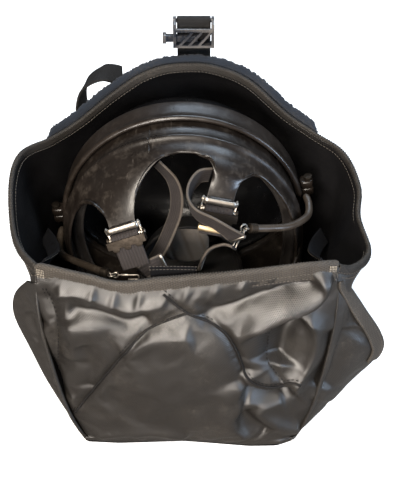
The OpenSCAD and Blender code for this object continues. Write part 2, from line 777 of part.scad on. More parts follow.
// ---------------------------------------------------------------- the nodes

pouch_front();
pouch_back();
pouch_floor();
base_board();
front_rim_binding();
hood_edge_binding();
hood_fleece_band();
left_ear_panel();
right_ear_panel();
closure_tape(-1);  // left_closure_tape
closure_tape(1);  // right_closure_tape
name_tab();
carry_loop();
closure_strap();
buckle_socket();
buckle_latch();
stowed() face_blank();
stowed() face_seal();
stowed() visor();
stowed() lens_frame_upper();
stowed() lens_frame_lower();
stowed() frame_screws();
stowed() nose_cup();
stowed() nose_valve_seats();
stowed() nose_valve(-1);  // left_nose_valve
stowed() nose_valve(1);  // right_nose_valve
stowed() port_housing();
stowed() port_clamp_ring();
stowed() port_gasket();
stowed() inlet_valve();
stowed() exhale_seat();
stowed() exhale_valve();
stowed() exhale_spring();
stowed() exhale_cover();
stowed() voice_diaphragm();
stowed() voice_ring();
stowed() in_buckle(LEFT_TEMPLE) buckle_link();  // left_temple_link
stowed() in_buckle(LEFT_TEMPLE) buckle_roller();  // left_temple_roller
stowed() in_buckle(LEFT_TEMPLE) buckle_lever();  // left_temple_lever
stowed() in_buckle(RIGHT_TEMPLE) buckle_link();  // right_temple_link
stowed() in_buckle(RIGHT_TEMPLE) buckle_roller();  // right_temple_roller
stowed() in_buckle(RIGHT_TEMPLE) buckle_lever();  // right_temple_lever
stowed() in_cheek_buckle(-1) buckle_link();  // left_cheek_link
stowed() in_cheek_buckle(-1) buckle_roller();  // left_cheek_roller
stowed() in_cheek_buckle(-1) buckle_lever();  // left_cheek_lever
stowed() in_cheek_buckle(1) buckle_link();  // right_cheek_link
stowed() in_cheek_buckle(1) buckle_roller();  // right_cheek_roller
stowed() in_cheek_buckle(1) buckle_lever();  // right_cheek_lever
stowed() left_temple_strap();
stowed() right_temple_strap();
stowed() strap_slide();
stowed() crown_straps();
stowed() cheek_straps();
stowed() head_pad();
stowed() side_cord(LEFT_CORD, LEFT_HOOK);  // left_side_cord
stowed() side_cord(RIGHT_CORD, RIGHT_HOOK);  // right_side_cord
stowed() hook_ring(LEFT_CORD, LEFT_HOOK);  // left_hook_ring
stowed() hook_ring(RIGHT_CORD, RIGHT_HOOK);  // right_hook_ring
stowed() snap_hook(LEFT_CORD, LEFT_HOOK, 15);  // left_snap_hook
stowed() snap_hook(RIGHT_CORD, RIGHT_HOOK, 12);  // right_snap_hook
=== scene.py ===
"""Looks for a full face respirator stowed in its open carry pouch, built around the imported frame.

Lengths are in millimetres in the row frame and become metres when a mesh is made. "Face" points are in the
facepiece's own frame: x across the face, y out through the visor, z up the face, from the lens centre.
"""

import json
import math

import bmesh
import bpy
import numpy as np
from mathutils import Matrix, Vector
from mathutils.bvhtree import BVHTree
from mathutils.geometry import delaunay_2d_cdt


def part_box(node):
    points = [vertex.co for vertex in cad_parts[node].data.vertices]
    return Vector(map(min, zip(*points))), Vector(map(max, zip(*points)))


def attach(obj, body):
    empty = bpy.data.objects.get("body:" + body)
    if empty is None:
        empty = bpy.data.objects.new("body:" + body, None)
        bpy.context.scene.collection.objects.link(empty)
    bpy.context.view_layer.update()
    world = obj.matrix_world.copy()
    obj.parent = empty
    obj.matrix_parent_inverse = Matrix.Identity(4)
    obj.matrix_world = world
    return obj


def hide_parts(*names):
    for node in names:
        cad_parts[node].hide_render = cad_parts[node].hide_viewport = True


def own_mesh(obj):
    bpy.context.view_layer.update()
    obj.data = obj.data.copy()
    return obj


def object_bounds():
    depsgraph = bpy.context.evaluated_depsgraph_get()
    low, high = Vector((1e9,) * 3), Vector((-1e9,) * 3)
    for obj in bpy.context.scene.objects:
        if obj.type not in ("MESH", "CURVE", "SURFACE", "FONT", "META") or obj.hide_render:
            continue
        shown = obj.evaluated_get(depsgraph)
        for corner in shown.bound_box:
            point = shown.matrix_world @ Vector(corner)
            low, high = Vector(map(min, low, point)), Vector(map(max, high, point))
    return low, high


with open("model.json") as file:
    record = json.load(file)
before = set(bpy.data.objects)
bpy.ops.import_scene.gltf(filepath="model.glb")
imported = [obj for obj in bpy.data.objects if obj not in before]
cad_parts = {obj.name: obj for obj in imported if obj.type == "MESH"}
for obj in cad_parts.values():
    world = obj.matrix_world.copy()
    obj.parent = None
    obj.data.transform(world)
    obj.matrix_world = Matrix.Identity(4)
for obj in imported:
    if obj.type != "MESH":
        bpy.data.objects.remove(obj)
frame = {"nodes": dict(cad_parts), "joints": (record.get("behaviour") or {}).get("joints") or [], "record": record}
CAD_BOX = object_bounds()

MM = 0.001
rng = np.random.default_rng(5)

# ---------------------------------------------------------------- numbers from the frame


def box_mm(node):
    lo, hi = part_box(node)
    return np.array(lo) / MM, np.array(hi) / MM


def joint(name):
    return next(j for j in frame["joints"] if j["name"] == name)


def joint_at(name):
    return np.array(joint(name)["pos_m"]) / MM


def joint_axis(name):
    return np.array(joint(name)["axis"], float)


def unit(v):
    v = np.asarray(v, float)
    return v / np.maximum(np.linalg.norm(v, axis=-1, keepdims=True), 1e-9)


FACE_Z = -unit(joint_axis("exhale_valve_lift"))
FACE_Y = np.array([0.0, 1.0, 0.0])
FACE_X = np.cross(FACE_Y, FACE_Z)
PORT_Z = -90
PORT_MOUNT_Y = 25
port_mount = next(m for m in frame["record"]["mounts"] if m["name"] == "inlet_port")
FACE_AT = np.array(port_mount["pos_m"]) / MM - PORT_MOUNT_Y * FACE_Y - PORT_Z * FACE_Z


def face(points):
    """Face points as row points."""
    return FACE_AT + np.asarray(points, float) @ np.stack([FACE_X, FACE_Y, FACE_Z])


def face_dirs(vectors):
    return np.asarray(vectors, float) @ np.stack([FACE_X, FACE_Y, FACE_Z])


# Sizes that the facepiece shares with its CAD solids
LENS_R = 86
LENS_LOW = 58
CHIN_LOW = 118
RUBBER = 3
STRAP_W = 20
STRAP_T = 1.8
ROLLER_R = 2
WRAP_GAP = 0.1
LINK_DROP = 7.2
HALF_LINK = STRAP_W / 2 + 1.2

# ---------------------------------------------------------------- curves


def curve(points, n=8):
    """Smooth curve through the points, n steps to a span."""
    p = np.asarray(points, float)
    ends = np.vstack([p[:1], p, p[-1:]])
    t = (np.arange(n) / n)[:, None]
    spans = [
        0.5 * (2 * b + (c - a) * t + (2 * a - 5 * b + 4 * c - d) * t**2 + (3 * b - a - 3 * c + d) * t**3)
        for a, b, c, d in zip(ends, ends[1:], ends[2:], ends[3:])
    ]
    return np.vstack(spans + [p[-1:]])


def run_of(path):
    """Distance along a path at each of its points."""
    return np.concatenate([[0], np.cumsum(np.linalg.norm(np.diff(path, axis=0), axis=1))])


def spaced(path, step):
    """The path with its points at even steps of about step."""
    run = run_of(path)
    at = np.linspace(0, run[-1], max(2, round(run[-1] / step) + 1))
    return np.stack([np.interp(at, run, path[:, k]) for k in range(path.shape[1])], 1)


def heading(path):
    """Direction of the path at each point."""
    return unit(np.gradient(path, axis=0))


def smooth_step(a, b, x):
    t = np.clip((x - a) / (b - a), 0, 1)
    return t * t * (3 - 2 * t)


def bezier(p0, p1, p2, p3, t):
    return (1 - t) ** 3 * p0 + 3 * (1 - t) ** 2 * t * p1 + 3 * (1 - t) * t**2 * p2 + t**3 * p3


def wobble(points, size, seed=0):
    """Smooth pseudo-random value from -1 to 1 at each point, with features of about size."""
    local = np.random.default_rng(seed)
    total = np.zeros(len(points))
    for _ in range(6):
        direction = unit(local.normal(size=3)) / size * local.uniform(0.6, 1.6)
        total += np.sin(2 * np.pi * points @ direction + local.uniform(0, 2 * np.pi))
    return total / 6


# ---------------------------------------------------------------- meshes


def lattice(rows, cols, wrap=False):
    """Quads of a grid and the (column, row) place of each of their corners."""
    j, i = np.meshgrid(np.arange(rows - 1), np.arange(cols if wrap else cols - 1), indexing="ij")
    n = (i + 1) % cols
    quads = np.stack([j * cols + i, j * cols + n, (j + 1) * cols + n, (j + 1) * cols + i], -1)
    spots = np.stack([np.stack([i + a, j + b], -1) for a, b in ((0, 0), (1, 0), (1, 1), (0, 1))], 2)
    return quads.reshape(-1, 4), spots.reshape(-1, 4, 2)


def make(name, points, faces, corner_uv=None):
    """Smooth mesh object from points in millimetres; corner_uv has one pair per face corner."""
    mesh = bpy.data.meshes.new(name)
    mesh.from_pydata((np.asarray(points, float) * MM).tolist(), [], [list(map(int, f)) for f in faces])
    if corner_uv is not None:
        mesh.uv_layers.new(name="mm").data.foreach_set("uv", np.asarray(corner_uv, np.float32).ravel())
    mesh.polygons.foreach_set("use_smooth", [True] * len(mesh.polygons))
    mesh.update()
    obj = bpy.data.objects.new(name, mesh)
    bpy.context.scene.collection.objects.link(obj)
    return obj


def outwards(obj):
    """Turns the faces of a closed mesh outwards."""
    b = bmesh.new()
    b.from_mesh(obj.data)
    bmesh.ops.recalc_face_normals(b, faces=b.faces)
    b.to_mesh(obj.data)
    b.free()
    return obj


def sheet(name, grid, keep=None, flip=False):
    """Open sheet through a grid of points (rows, columns, 3), with a UV map in millimetres."""
    rows, cols = grid.shape[:2]
    quads, spots = lattice(rows, cols)
    mid = rows // 2
    u = run_of(grid[mid])
    v = run_of(grid[:, cols // 2])
    uv = np.stack([u[spots[..., 0]], v[spots[..., 1]]], -1)
    if keep is not None:
        chosen = keep[np.minimum(spots[:, 0, 1], rows - 2), np.minimum(spots[:, 0, 0], cols - 2)]
        quads, uv = quads[chosen], uv[chosen]
    if flip:
        quads, uv = quads[:, ::-1], uv[:, ::-1]
    used, index = np.unique(quads, return_inverse=True)
    return make(name, grid.reshape(-1, 3)[used], index.reshape(-1, 4), uv)


def skin(name, rings, caps=True):
    """Closed tube through rings of points (rings, points, 3)."""
    rows, cols = rings.shape[:2]
    quads, spots = lattice(rows, cols, wrap=True)
    first = np.vstack([rings[rows // 2], rings[rows // 2][:1]])
    u = run_of(first)
    v = run_of(rings.mean(axis=1))
    uv = np.stack([u[spots[..., 0]], v[spots[..., 1]]], -1).reshape(-1, 2)
    faces = quads.tolist()
    if caps:
        faces += [list(range(cols))[::-1], [(rows - 1) * cols + k for k in range(cols)]]
        low_end = np.stack([u[:cols], np.zeros(cols)], 1)
        high_end = np.stack([u[:cols], np.full(cols, v[-1])], 1)
        uv = np.vstack([uv, low_end, high_end])
    return outwards(make(name, rings.reshape(-1, 3), faces, uv))


def carried(path, edge, side, profile):
    """Rings of a profile (points, 2) carried along a path with the directions edge and side."""
    edge = np.broadcast_to(edge, path.shape)
    side = np.broadcast_to(side, path.shape)
    profile = np.broadcast_to(profile, (len(path),) + profile.shape[-2:])
    return path[:, None] + profile[..., :1] * edge[:, None] + profile[..., 1:] * side[:, None]


def round_bar(w, t, n=5):
    """Profile of a flat bar with rounded edges, w wide and t thick."""
    r = t / 2
    arc = np.linspace(-np.pi / 2, np.pi / 2, n)
    right = np.stack([w / 2 - r + r * np.cos(arc), r * np.sin(arc)], 1)
    across = np.linspace(0.8, -0.8, 5)[:, None] * (w / 2 - r)
    top = np.hstack([across, np.full((5, 1), r)])
    return np.vstack([right, top, -right, -top])


def circle(r, n=20):
    a = np.linspace(0, 2 * np.pi, n, endpoint=False)
    return np.stack([r * np.cos(a), r * np.sin(a)], 1)


def ribbon(name, path, across, w, t, body, slot, *nodes):
    """Flat strap along a path; across is the direction of its width."""
    along = heading(path)
    side = unit(np.cross(along, across))
    edge = np.cross(side, along)
    obj = skin(name, carried(path, edge, side, round_bar(w, t)))
    return dress(obj, body, slot, *nodes)


def tube(name, path, r, body, slot, *nodes, n=20):
    """Round cord; r is one radius or one for each point."""
    along = heading(path)
    edge = unit(np.cross(along, [0.31, 0.17, 0.94]))
    side = np.cross(along, edge)
    profile = circle(1, n)[None] * np.broadcast_to(r, len(path))[:, None, None]
    return dress(skin(name, carried(path, edge, side, profile)), body, slot, *nodes)


def join(name, objs):
    """One object from several."""
    with bpy.context.temp_override(active_object=objs[0], selected_editable_objects=objs, object=objs[0]):
        bpy.ops.object.join()
    objs[0].name = name
    return objs[0]


def add(obj, kind, **settings):
    modifier = obj.modifiers.new(kind.title(), kind)
    for key, value in settings.items():
        setattr(modifier, key, value)
    return modifier


def dress(obj, body, slot, *nodes):
    """Gives a piece its material, its body and the CAD nodes it stands for."""
    obj.data.materials.clear()
    obj.data.materials.append(material(slot))
    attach(obj, body)
    if nodes:
        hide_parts(*nodes)
    return obj


def beads(path, normal, pitch, length, r, lift=0.0):
    """Points and faces of a row of stitches along a path, each a small rounded bead."""
    dense = spaced(path, pitch)
    spots = np.linspace(0, len(path) - 1, len(dense))
    normal = np.stack([np.interp(spots, np.arange(len(path)), normal[:, k]) for k in range(3)], 1)
    along = heading(dense)
    cross = unit(np.cross(along, normal))
    up = np.cross(cross, along)
    share = np.array([-1, -0.7, 0, 0.7, 1])
    radius = np.array([0.25, 0.85, 1, 0.85, 0.25]) * r
    ring = circle(1, 6)
    points, faces = [], []
    for at, a, c, n in zip(dense, along, cross, up):
        base = len(points)
        for s, q in zip(share, radius):
            centre = at + a * s * length / 2 + n * (lift + r * 0.3)
            points += [centre + q * (x * c + y * n) for x, y in ring]
        faces += [[base + f for f in q] for q in BEAD_FACES]
    return points, faces


BEAD_FACES = lattice(5, 6, wrap=True)[0].tolist() + [list(range(6))[::-1], list(range(24, 30))]


def stitching(name, rows, body, slot="thread", pitch=3.2, length=2.3, r=0.34, lift=0.0):
    """One object with the stitches of several (path, normals) rows."""
    points, faces = [], []
    for path, normal in rows:
        if len(path) < 3:
            continue
        more, quads = beads(path, normal, pitch, length, r, lift)
        faces += [[len(points) + f for f in q] for q in quads]
        points += more
    return dress(outwards(make(name, points, faces)), body, slot)


# ---------------------------------------------------------------- materials


class Paint:
    """A material's node tree while it is built. Its helpers return output sockets."""

    def __init__(self, name):
        self.material = bpy.data.materials.new(name)
        self.material.use_nodes = True
        self.tree = self.material.node_tree
        self.shader = self.tree.nodes["Principled BSDF"]

    def node(self, kind, inputs=(), **settings):
        made = self.tree.nodes.new("ShaderNode" + kind)
        for key, value in settings.items():
            setattr(made, key, value)
        for key, value in dict(inputs).items():
            if isinstance(value, bpy.types.NodeSocket):
                self.tree.links.new(value, made.inputs[key])
            else:
                made.inputs[key].default_value = value
        return made

    def math(self, operation, a, b=0.0, c=0.0):
        return self.node("Math", {0: a, 1: b, 2: c}, operation=operation).outputs[0]

    def spread(self, value, lo, hi, to_lo, to_hi):
        inputs = {"Value": value, "From Min": lo, "From Max": hi, "To Min": to_lo, "To Max": to_hi}
        return self.node("MapRange", inputs).outputs["Result"]

    def noise(self, vector, size, detail=3.0, rough=0.55):
        inputs = {"Vector": vector, "Scale": 1 / size, "Detail": detail, "Roughness": rough}
        return self.node("TexNoise", inputs).outputs["Fac"]

    def mix(self, share, a, b, blend="MIX"):
        made = self.node("Mix", data_type="RGBA", blend_type=blend)
        for index, value in ((0, share), (6, a), (7, b)):
            if isinstance(value, bpy.types.NodeSocket):
                self.tree.links.new(value, made.inputs[index])
            else:
                made.inputs[index].default_value = value
        return made.outputs[2]

    def scaled(self, vector, sx, sy, sz):
        return self.node("Mapping", {"Vector": vector, "Scale": (sx, sy, sz)}).outputs["Vector"]

    def wave(self, value, pitch):
        return self.math("SINE", self.math("MULTIPLY", value, 2 * math.pi / pitch))

    def bump(self, heights):
        """Chains (height socket, depth in mm) pairs into one normal."""
        normal = None
        for height, depth in heights:
            inputs = {"Height": height, "Distance": depth * MM, "Strength": 1.0}
            if normal is not None:
                inputs["Normal"] = normal
            normal = self.node("Bump", inputs).outputs["Normal"]
        return normal

    def put(self, **values):
        names = {
            "color": "Base Color", "rough": "Roughness", "metal": "Metallic", "normal": "Normal",
            "sheen": "Sheen Weight", "sheen_rough": "Sheen Roughness", "coat": "Coat Weight",
            "coat_rough": "Coat Roughness", "specular": "Specular IOR Level", "glass": "Transmission Weight",
            "ior": "IOR", "sheen_tint": "Sheen Tint", "coat_normal": "Coat Normal",
        }
        for key, value in values.items():
            socket = self.shader.inputs[names[key]]
            if isinstance(value, bpy.types.NodeSocket):
                self.tree.links.new(value, socket)
            else:
                socket.default_value = value


def rgb(r, g, b):
    return (r, g, b, 1.0)


def shade(color, k):
    return (color[0] * k, color[1] * k, color[2] * k, 1.0)


def fabric(paint, color, rough, weave=(1.2, 1.2, 0.12), fuzz=0.0, dust=0.2, gloss=0.45, rib=0.0):
    """Woven cloth: a weave in the UV map's millimetres with dusty patches."""
    coords = paint.node("TexCoord").outputs
    uv = paint.node("SeparateXYZ", {0: coords["UV"]}).outputs
    mm = paint.scaled(coords["Object"], 1 / MM, 1 / MM, 1 / MM)
    pu, pv, depth = weave
    over = paint.math("MULTIPLY", paint.wave(uv[0], pu), paint.wave(uv[1], pv))
    thread = paint.math("ADD", over, paint.math("MULTIPLY", paint.wave(uv[1], pv / 2), 0.35))
    if rib:
        thread = paint.math("ADD", thread, paint.math("MULTIPLY", paint.wave(uv[0], rib), 0.8))
    patches = paint.noise(mm, 34, 5)
    specks = paint.noise(mm, 1.6, 2)
    tone = paint.mix(paint.spread(patches, 0.35, 0.68, 0, 1), shade(color, 0.72), shade(color, 1.25))
    tone = paint.mix(paint.spread(thread, -1, 1.2, 0, 0.6), tone, shade(color, 3.0))
    worn = paint.math(
        "MULTIPLY", paint.spread(patches, 0.5, 0.75, 0, 1), paint.spread(specks, 0.45, 0.7, 0, 1)
    )
    tone = paint.mix(paint.math("MULTIPLY", worn, dust), tone, rgb(0.16, 0.14, 0.115))
    uneven = paint.spread(paint.noise(mm, 12, 4), 0.3, 0.7, rough - 0.06, rough + 0.1)
    normal = paint.bump([(paint.noise(mm, 16, 3), 0.35), (specks, 0.03), (thread, depth)])
    paint.put(color=tone, rough=uneven, normal=normal, sheen=fuzz, sheen_rough=0.5, specular=gloss)


def rubber(paint, color, rough, grain=0.6, dust=0.3, scuff=0.35, blue=0.0):
    """Moulded rubber with fine grain, scuffs and a bloom of dust."""
    mm = paint.scaled(paint.node("TexCoord").outputs["Object"], 1 / MM, 1 / MM, 1 / MM)
    patches = paint.noise(mm, 26, 5, 0.6)
    scratches = paint.noise(paint.scaled(mm, 1.3, 0.12, 0.5), 2.2, 6, 0.75)
    marks = paint.spread(scratches, 0.6, 0.72, 0, 1)
    tone = paint.mix(paint.spread(patches, 0.3, 0.7, 0, 1), shade(color, 0.75), shade(color, 1.35))
    tone = paint.mix(paint.math("MULTIPLY", marks, scuff), tone, rgb(0.16, 0.14, 0.12))
    dusty = paint.spread(paint.noise(mm, 9, 6, 0.7), 0.5, 0.72, 0, dust)
    tone = paint.mix(dusty, tone, rgb(0.15, 0.125, 0.1))
    uneven = paint.math("ADD", paint.spread(patches, 0.3, 0.7, rough - 0.05, rough + 0.1), dusty)
    normal = paint.bump([(paint.noise(mm, 9, 3), 0.16), (paint.noise(mm, grain, 2), 0.01), (scratches, 0.03)])
    paint.put(color=tone, rough=uneven, normal=normal, specular=0.5 + blue)


def metal(paint, color, rough, wear=0.4, brushed=True):
    """Plated metal, dull in patches, with brushing and bright worn edges."""
    mm = paint.scaled(paint.node("TexCoord").outputs["Object"], 1 / MM, 1 / MM, 1 / MM)
    patches = paint.noise(mm, 3.5, 5, 0.7)
    lines = paint.noise(paint.scaled(mm, 0.3, 4, 4) if brushed else mm, 0.8, 3)
    tone = paint.mix(paint.spread(patches, 0.42, 0.7, 0, wear), color, shade(color, 0.35))
    edge = paint.spread(paint.node("NewGeometry").outputs["Pointiness"], 0.52, 0.6, 0, 0.6)
    tone = paint.mix(edge, tone, shade(color, 1.25))
    uneven = paint.spread(patches, 0.35, 0.75, rough, rough + 0.22)
    paint.put(color=tone, rough=uneven, metal=1.0, normal=paint.bump([(lines, 0.03), (patches, 0.03)]))


def plastic(paint, color, rough, grain=0.5, dust=0.25, glass=0.0, edges=0.45):
    """Moulded plastic with fine grain, light scratches and pale worn edges."""
    mm = paint.scaled(paint.node("TexCoord").outputs["Object"], 1 / MM, 1 / MM, 1 / MM)
    patches = paint.noise(mm, 15, 5, 0.6)
    scratches = paint.noise(paint.scaled(mm, 0.15, 1.1, 0.9), 1.7, 5, 0.7)
    tone = paint.mix(paint.spread(patches, 0.3, 0.7, 0, 1), shade(color, 0.8), shade(color, 1.25))
    edge = paint.spread(paint.node("NewGeometry").outputs["Pointiness"], 0.53, 0.62, 0, edges)
    tone = paint.mix(edge, tone, rgb(0.2, 0.185, 0.17))
    dusty = paint.spread(paint.noise(mm, 7, 6, 0.7), 0.52, 0.75, 0, dust)
    tone = paint.mix(dusty, tone, rgb(0.26, 0.22, 0.17))
    uneven = paint.math("ADD", paint.spread(patches, 0.3, 0.7, rough, rough + 0.08), dusty)
    normal = paint.bump([(paint.noise(mm, grain, 2), 0.02), (scratches, 0.03)])
    paint.put(color=tone, rough=uneven, normal=normal, glass=glass, ior=1.5)


FINISHES = {
    "pouch_shell": lambda p: fabric(
        p, rgb(0.0075, 0.0064, 0.0055), 0.36, (1.5, 1.5, 0.065), dust=0.3, gloss=0.85
    ),
    "pouch_inside": lambda p: fabric(
        p, rgb(0.0024, 0.0023, 0.0026), 0.65, (1.3, 1.3, 0.05), dust=0.02, gloss=0.12
    ),
    "board": lambda p: plastic(p, rgb(0.012, 0.012, 0.012), 0.6),
    "binding": lambda p: fabric(
        p, rgb(0.03, 0.026, 0.022), 0.6, (2.0, 3.4, 0.1), fuzz=0.02, dust=0.3, gloss=0.3
    ),
    "fleece": lambda p: fabric(
        p, rgb(0.01, 0.0135, 0.02), 0.95, (1.1, 1.3, 0.2), fuzz=0.06, dust=0.3, gloss=0.2
    ),
    "hook_tape": lambda p: fabric(p, rgb(0.003, 0.003, 0.0038), 0.8, (1.2, 1.2, 0.3), gloss=0.15),
    "webbing": lambda p: fabric(p, rgb(0.005, 0.0048, 0.005), 0.7, (2.2, 1.1, 0.2), gloss=0.3),
    "buckle_plastic": lambda p: plastic(p, rgb(0.012, 0.015, 0.022), 0.25),
    "face_rubber": lambda p: rubber(p, rgb(0.0095, 0.0072, 0.0058), 0.3, dust=0.16, scuff=0.4),
    "seal_rubber": lambda p: rubber(p, rgb(0.012, 0.01, 0.009), 0.5, dust=0.1),
    "visor_clear": lambda p: plastic(p, rgb(0.01, 0.01, 0.011), 0.2, glass=0.5, dust=0.04, edges=0.0),
    "frame_plastic": lambda p: rubber(p, rgb(0.012, 0.0088, 0.0068), 0.3, grain=0.9, dust=0.08, scuff=0.12),
    "steel": lambda p: metal(p, rgb(0.42, 0.38, 0.33), 0.32),
    "cup_rubber": lambda p: rubber(p, rgb(0.012, 0.011, 0.0105), 0.6, dust=0.08),
    "valve_plastic": lambda p: plastic(p, rgb(0.012, 0.012, 0.0125), 0.42),
    "valve_disc": lambda p: rubber(p, rgb(0.05, 0.047, 0.042), 0.4, dust=0.1, scuff=0.1),
    "diaphragm": lambda p: metal(p, rgb(0.5, 0.5, 0.5), 0.3, brushed=False),
    "harness": lambda p: fabric(p, rgb(0.0105, 0.0078, 0.0075), 0.7, (0.9, 1.3, 0.1), fuzz=0.02, rib=2.2),
    "brass": lambda p: metal(p, rgb(0.40, 0.31, 0.19), 0.4),
    "cord_rubber": lambda p: rubber(p, rgb(0.035, 0.027, 0.02), 0.34, dust=0.2),
    "harness_edge": lambda p: fabric(p, rgb(0.048, 0.04, 0.033), 0.5, (0.8, 0.8, 0.1)),
    "steel_dull": lambda p: metal(p, rgb(0.045, 0.037, 0.03), 0.5),
    "seam_cord": lambda p: fabric(p, rgb(0.0035, 0.003, 0.003), 0.55, (0.8, 0.8, 0.1), dust=0.3, gloss=0.3),
    "edge_tape": lambda p: fabric(p, rgb(0.012, 0.0105, 0.009), 0.6, (2.0, 3.4, 0.1), fuzz=0.01, gloss=0.3),
    "pad": lambda p: fabric(p, rgb(0.04, 0.034, 0.028), 0.85, (1.6, 1.6, 0.2), fuzz=0.05, dust=0.5),
    "thread": lambda p: fabric(p, rgb(0.05, 0.044, 0.037), 0.6, (0.5, 0.5, 0.1)),
    # Pale thread of the corner tacks: its light colour is a painted glint on the tape ends at the mouth's corners
    "painted_glint_thread": lambda p: fabric(p, rgb(0.20, 0.18, 0.15), 0.7, (0.5, 0.5, 0.1)),
}
_made = {}


def material(slot):
    if slot not in _made:
        paint = Paint(slot)
        FINISHES[slot](paint)
        _made[slot] = paint.material
    return _made[slot]


# ---------------------------------------------------------------- pouch shape

FRONT_RIM = [
    (-99, -66, 168), (-86, -71, 169), (-64, -75, 166), (-42, -77, 161), (-11, -77, 165),
    (38, -76, 170), (72, -73, 173), (93, -70, 173), (104, -66, 170),
]
HOOD_EDGE = [
    (104, -66, 170), (118, -58, 162), (131, -38, 160), (126, -10, 168), (128, 14, 177), (119, 42, 186),
    (98, 60, 192), (76, 71, 203), (48, 81, 225), (20, 85, 235), (-4, 85, 236), (-28, 83, 231),
    (-54, 77, 216), (-80, 65, 199), (-100, 51, 193), (-119, 30, 195), (-124, 4, 189), (-121, -26, 173),
    (-113, -48, 169), (-99, -66, 168),
]
RIGHT_EDGE = [
    (110, -60, 157), (129, -52, 120), (147, -45, 82), (145, -43, 60), (130, -44, 38), (108, -52, 16),
    (84, -64, 3),
]
LEFT_EDGE = [
    (-107, -60, 153), (-119, -54, 134), (-122, -52, 112), (-114, -55, 84), (-104, -60, 56),
    (-91, -66, 28), (-80, -70, 4),
]
EAR_TOP, EAR_LOW = 0.95, 0.05
CLOTH = 2.4
SIDE_BULGE, BACK_BULGE, FRONT_BULGE = 8, 27, 12
floor_lo, floor_hi = box_mm("pouch_floor")
POUCH_MID = (floor_lo + floor_hi)[:2] / 2
BASE_HALF = (floor_hi - floor_lo)[:2] / 2


def base_under(p):
    """Floor points of the wall under mouth points: round at the back, drawn out to two corners in front."""
    v = (p[:, :2] - POUCH_MID) / BASE_HALF
    k = (np.abs(v) ** 4).sum(axis=1) ** -0.25
    round_spot = POUCH_MID + v * k[:, None] * BASE_HALF
    x = np.interp(p[:, 0], (-99, 104), (-74, 82))
    front_y = np.interp(x, (-74, -50, 0, 50, 70, 82), (-76, -77.5, -75.5, -80.5, -80, -75))
    front_spot = np.stack([x, front_y], 1)
    front = smooth_step(-8, -64, p[:, 1:2])
    return round_spot * (1 - front) + front_spot * front


def outward(p):
    flat = unit((p[:, :2] - POUCH_MID) / BASE_HALF)
    return np.hstack([flat, np.zeros((len(p), 1))])


def wall(mouth, shares, d=0.0):
    """Grid of wall points under a mouth line, one row for each share of its height."""
    t = np.asarray(shares)[:, None, None]
    n = outward(mouth)
    full = 1 - np.abs(2 * t - 1) ** 3
    ends = np.where(n[:, 1] > 0, BACK_BULGE, FRONT_BULGE)
    swell = (SIDE_BULGE + (ends - SIDE_BULGE) * np.abs(n[:, 1]))[None, :, None] * full
    flat = base_under(mouth)[None] * (1 - t) + mouth[None, :, :2] * t + n[None, :, :2] * (swell + d)
    return np.dstack([flat, mouth[None, :, 2] * t[..., 0]])


# Seams and folds of the front, as (x, height) on the upright plane y = PANEL_Y. A point in front of or
# behind that plane belongs to the spot it covers when seen from above at the slope SLANT.
PANEL_Y = -78
SLANT = 0.84
DIAGONAL_SEAM = [(-82, 36), (-59, 73), (-39, 104), (-23, 125), (3, 139)]
ARCH_SEAM = [
    (-13, 156), (3, 139), (19, 130), (30, 119), (37, 104), (41, 90), (45, 77), (54, 69), (66, 67),
    (76, 71), (83, 69),
]
LEFT_SEAM = [(-93, 160), (-87, 132), (-90, 95), (-92, 62)]
RIGHT_SEAM = [(60, 125), (59, 95), (64, 84), (72, 71)]
# The top cloth folds over itself along this lip
OVERFOLD = [(24, 98), (39, 113), (49, 123), (60, 131), (70, 138), (82, 143), (91, 149), (97, 158), (100, 168)]
OVERFOLD_HEIGHT = 9
# Cloth that would stand further forward than this is held back
PROUD = -93
EVERYWHERE, ABOVE, BELOW = 0, 1, -1
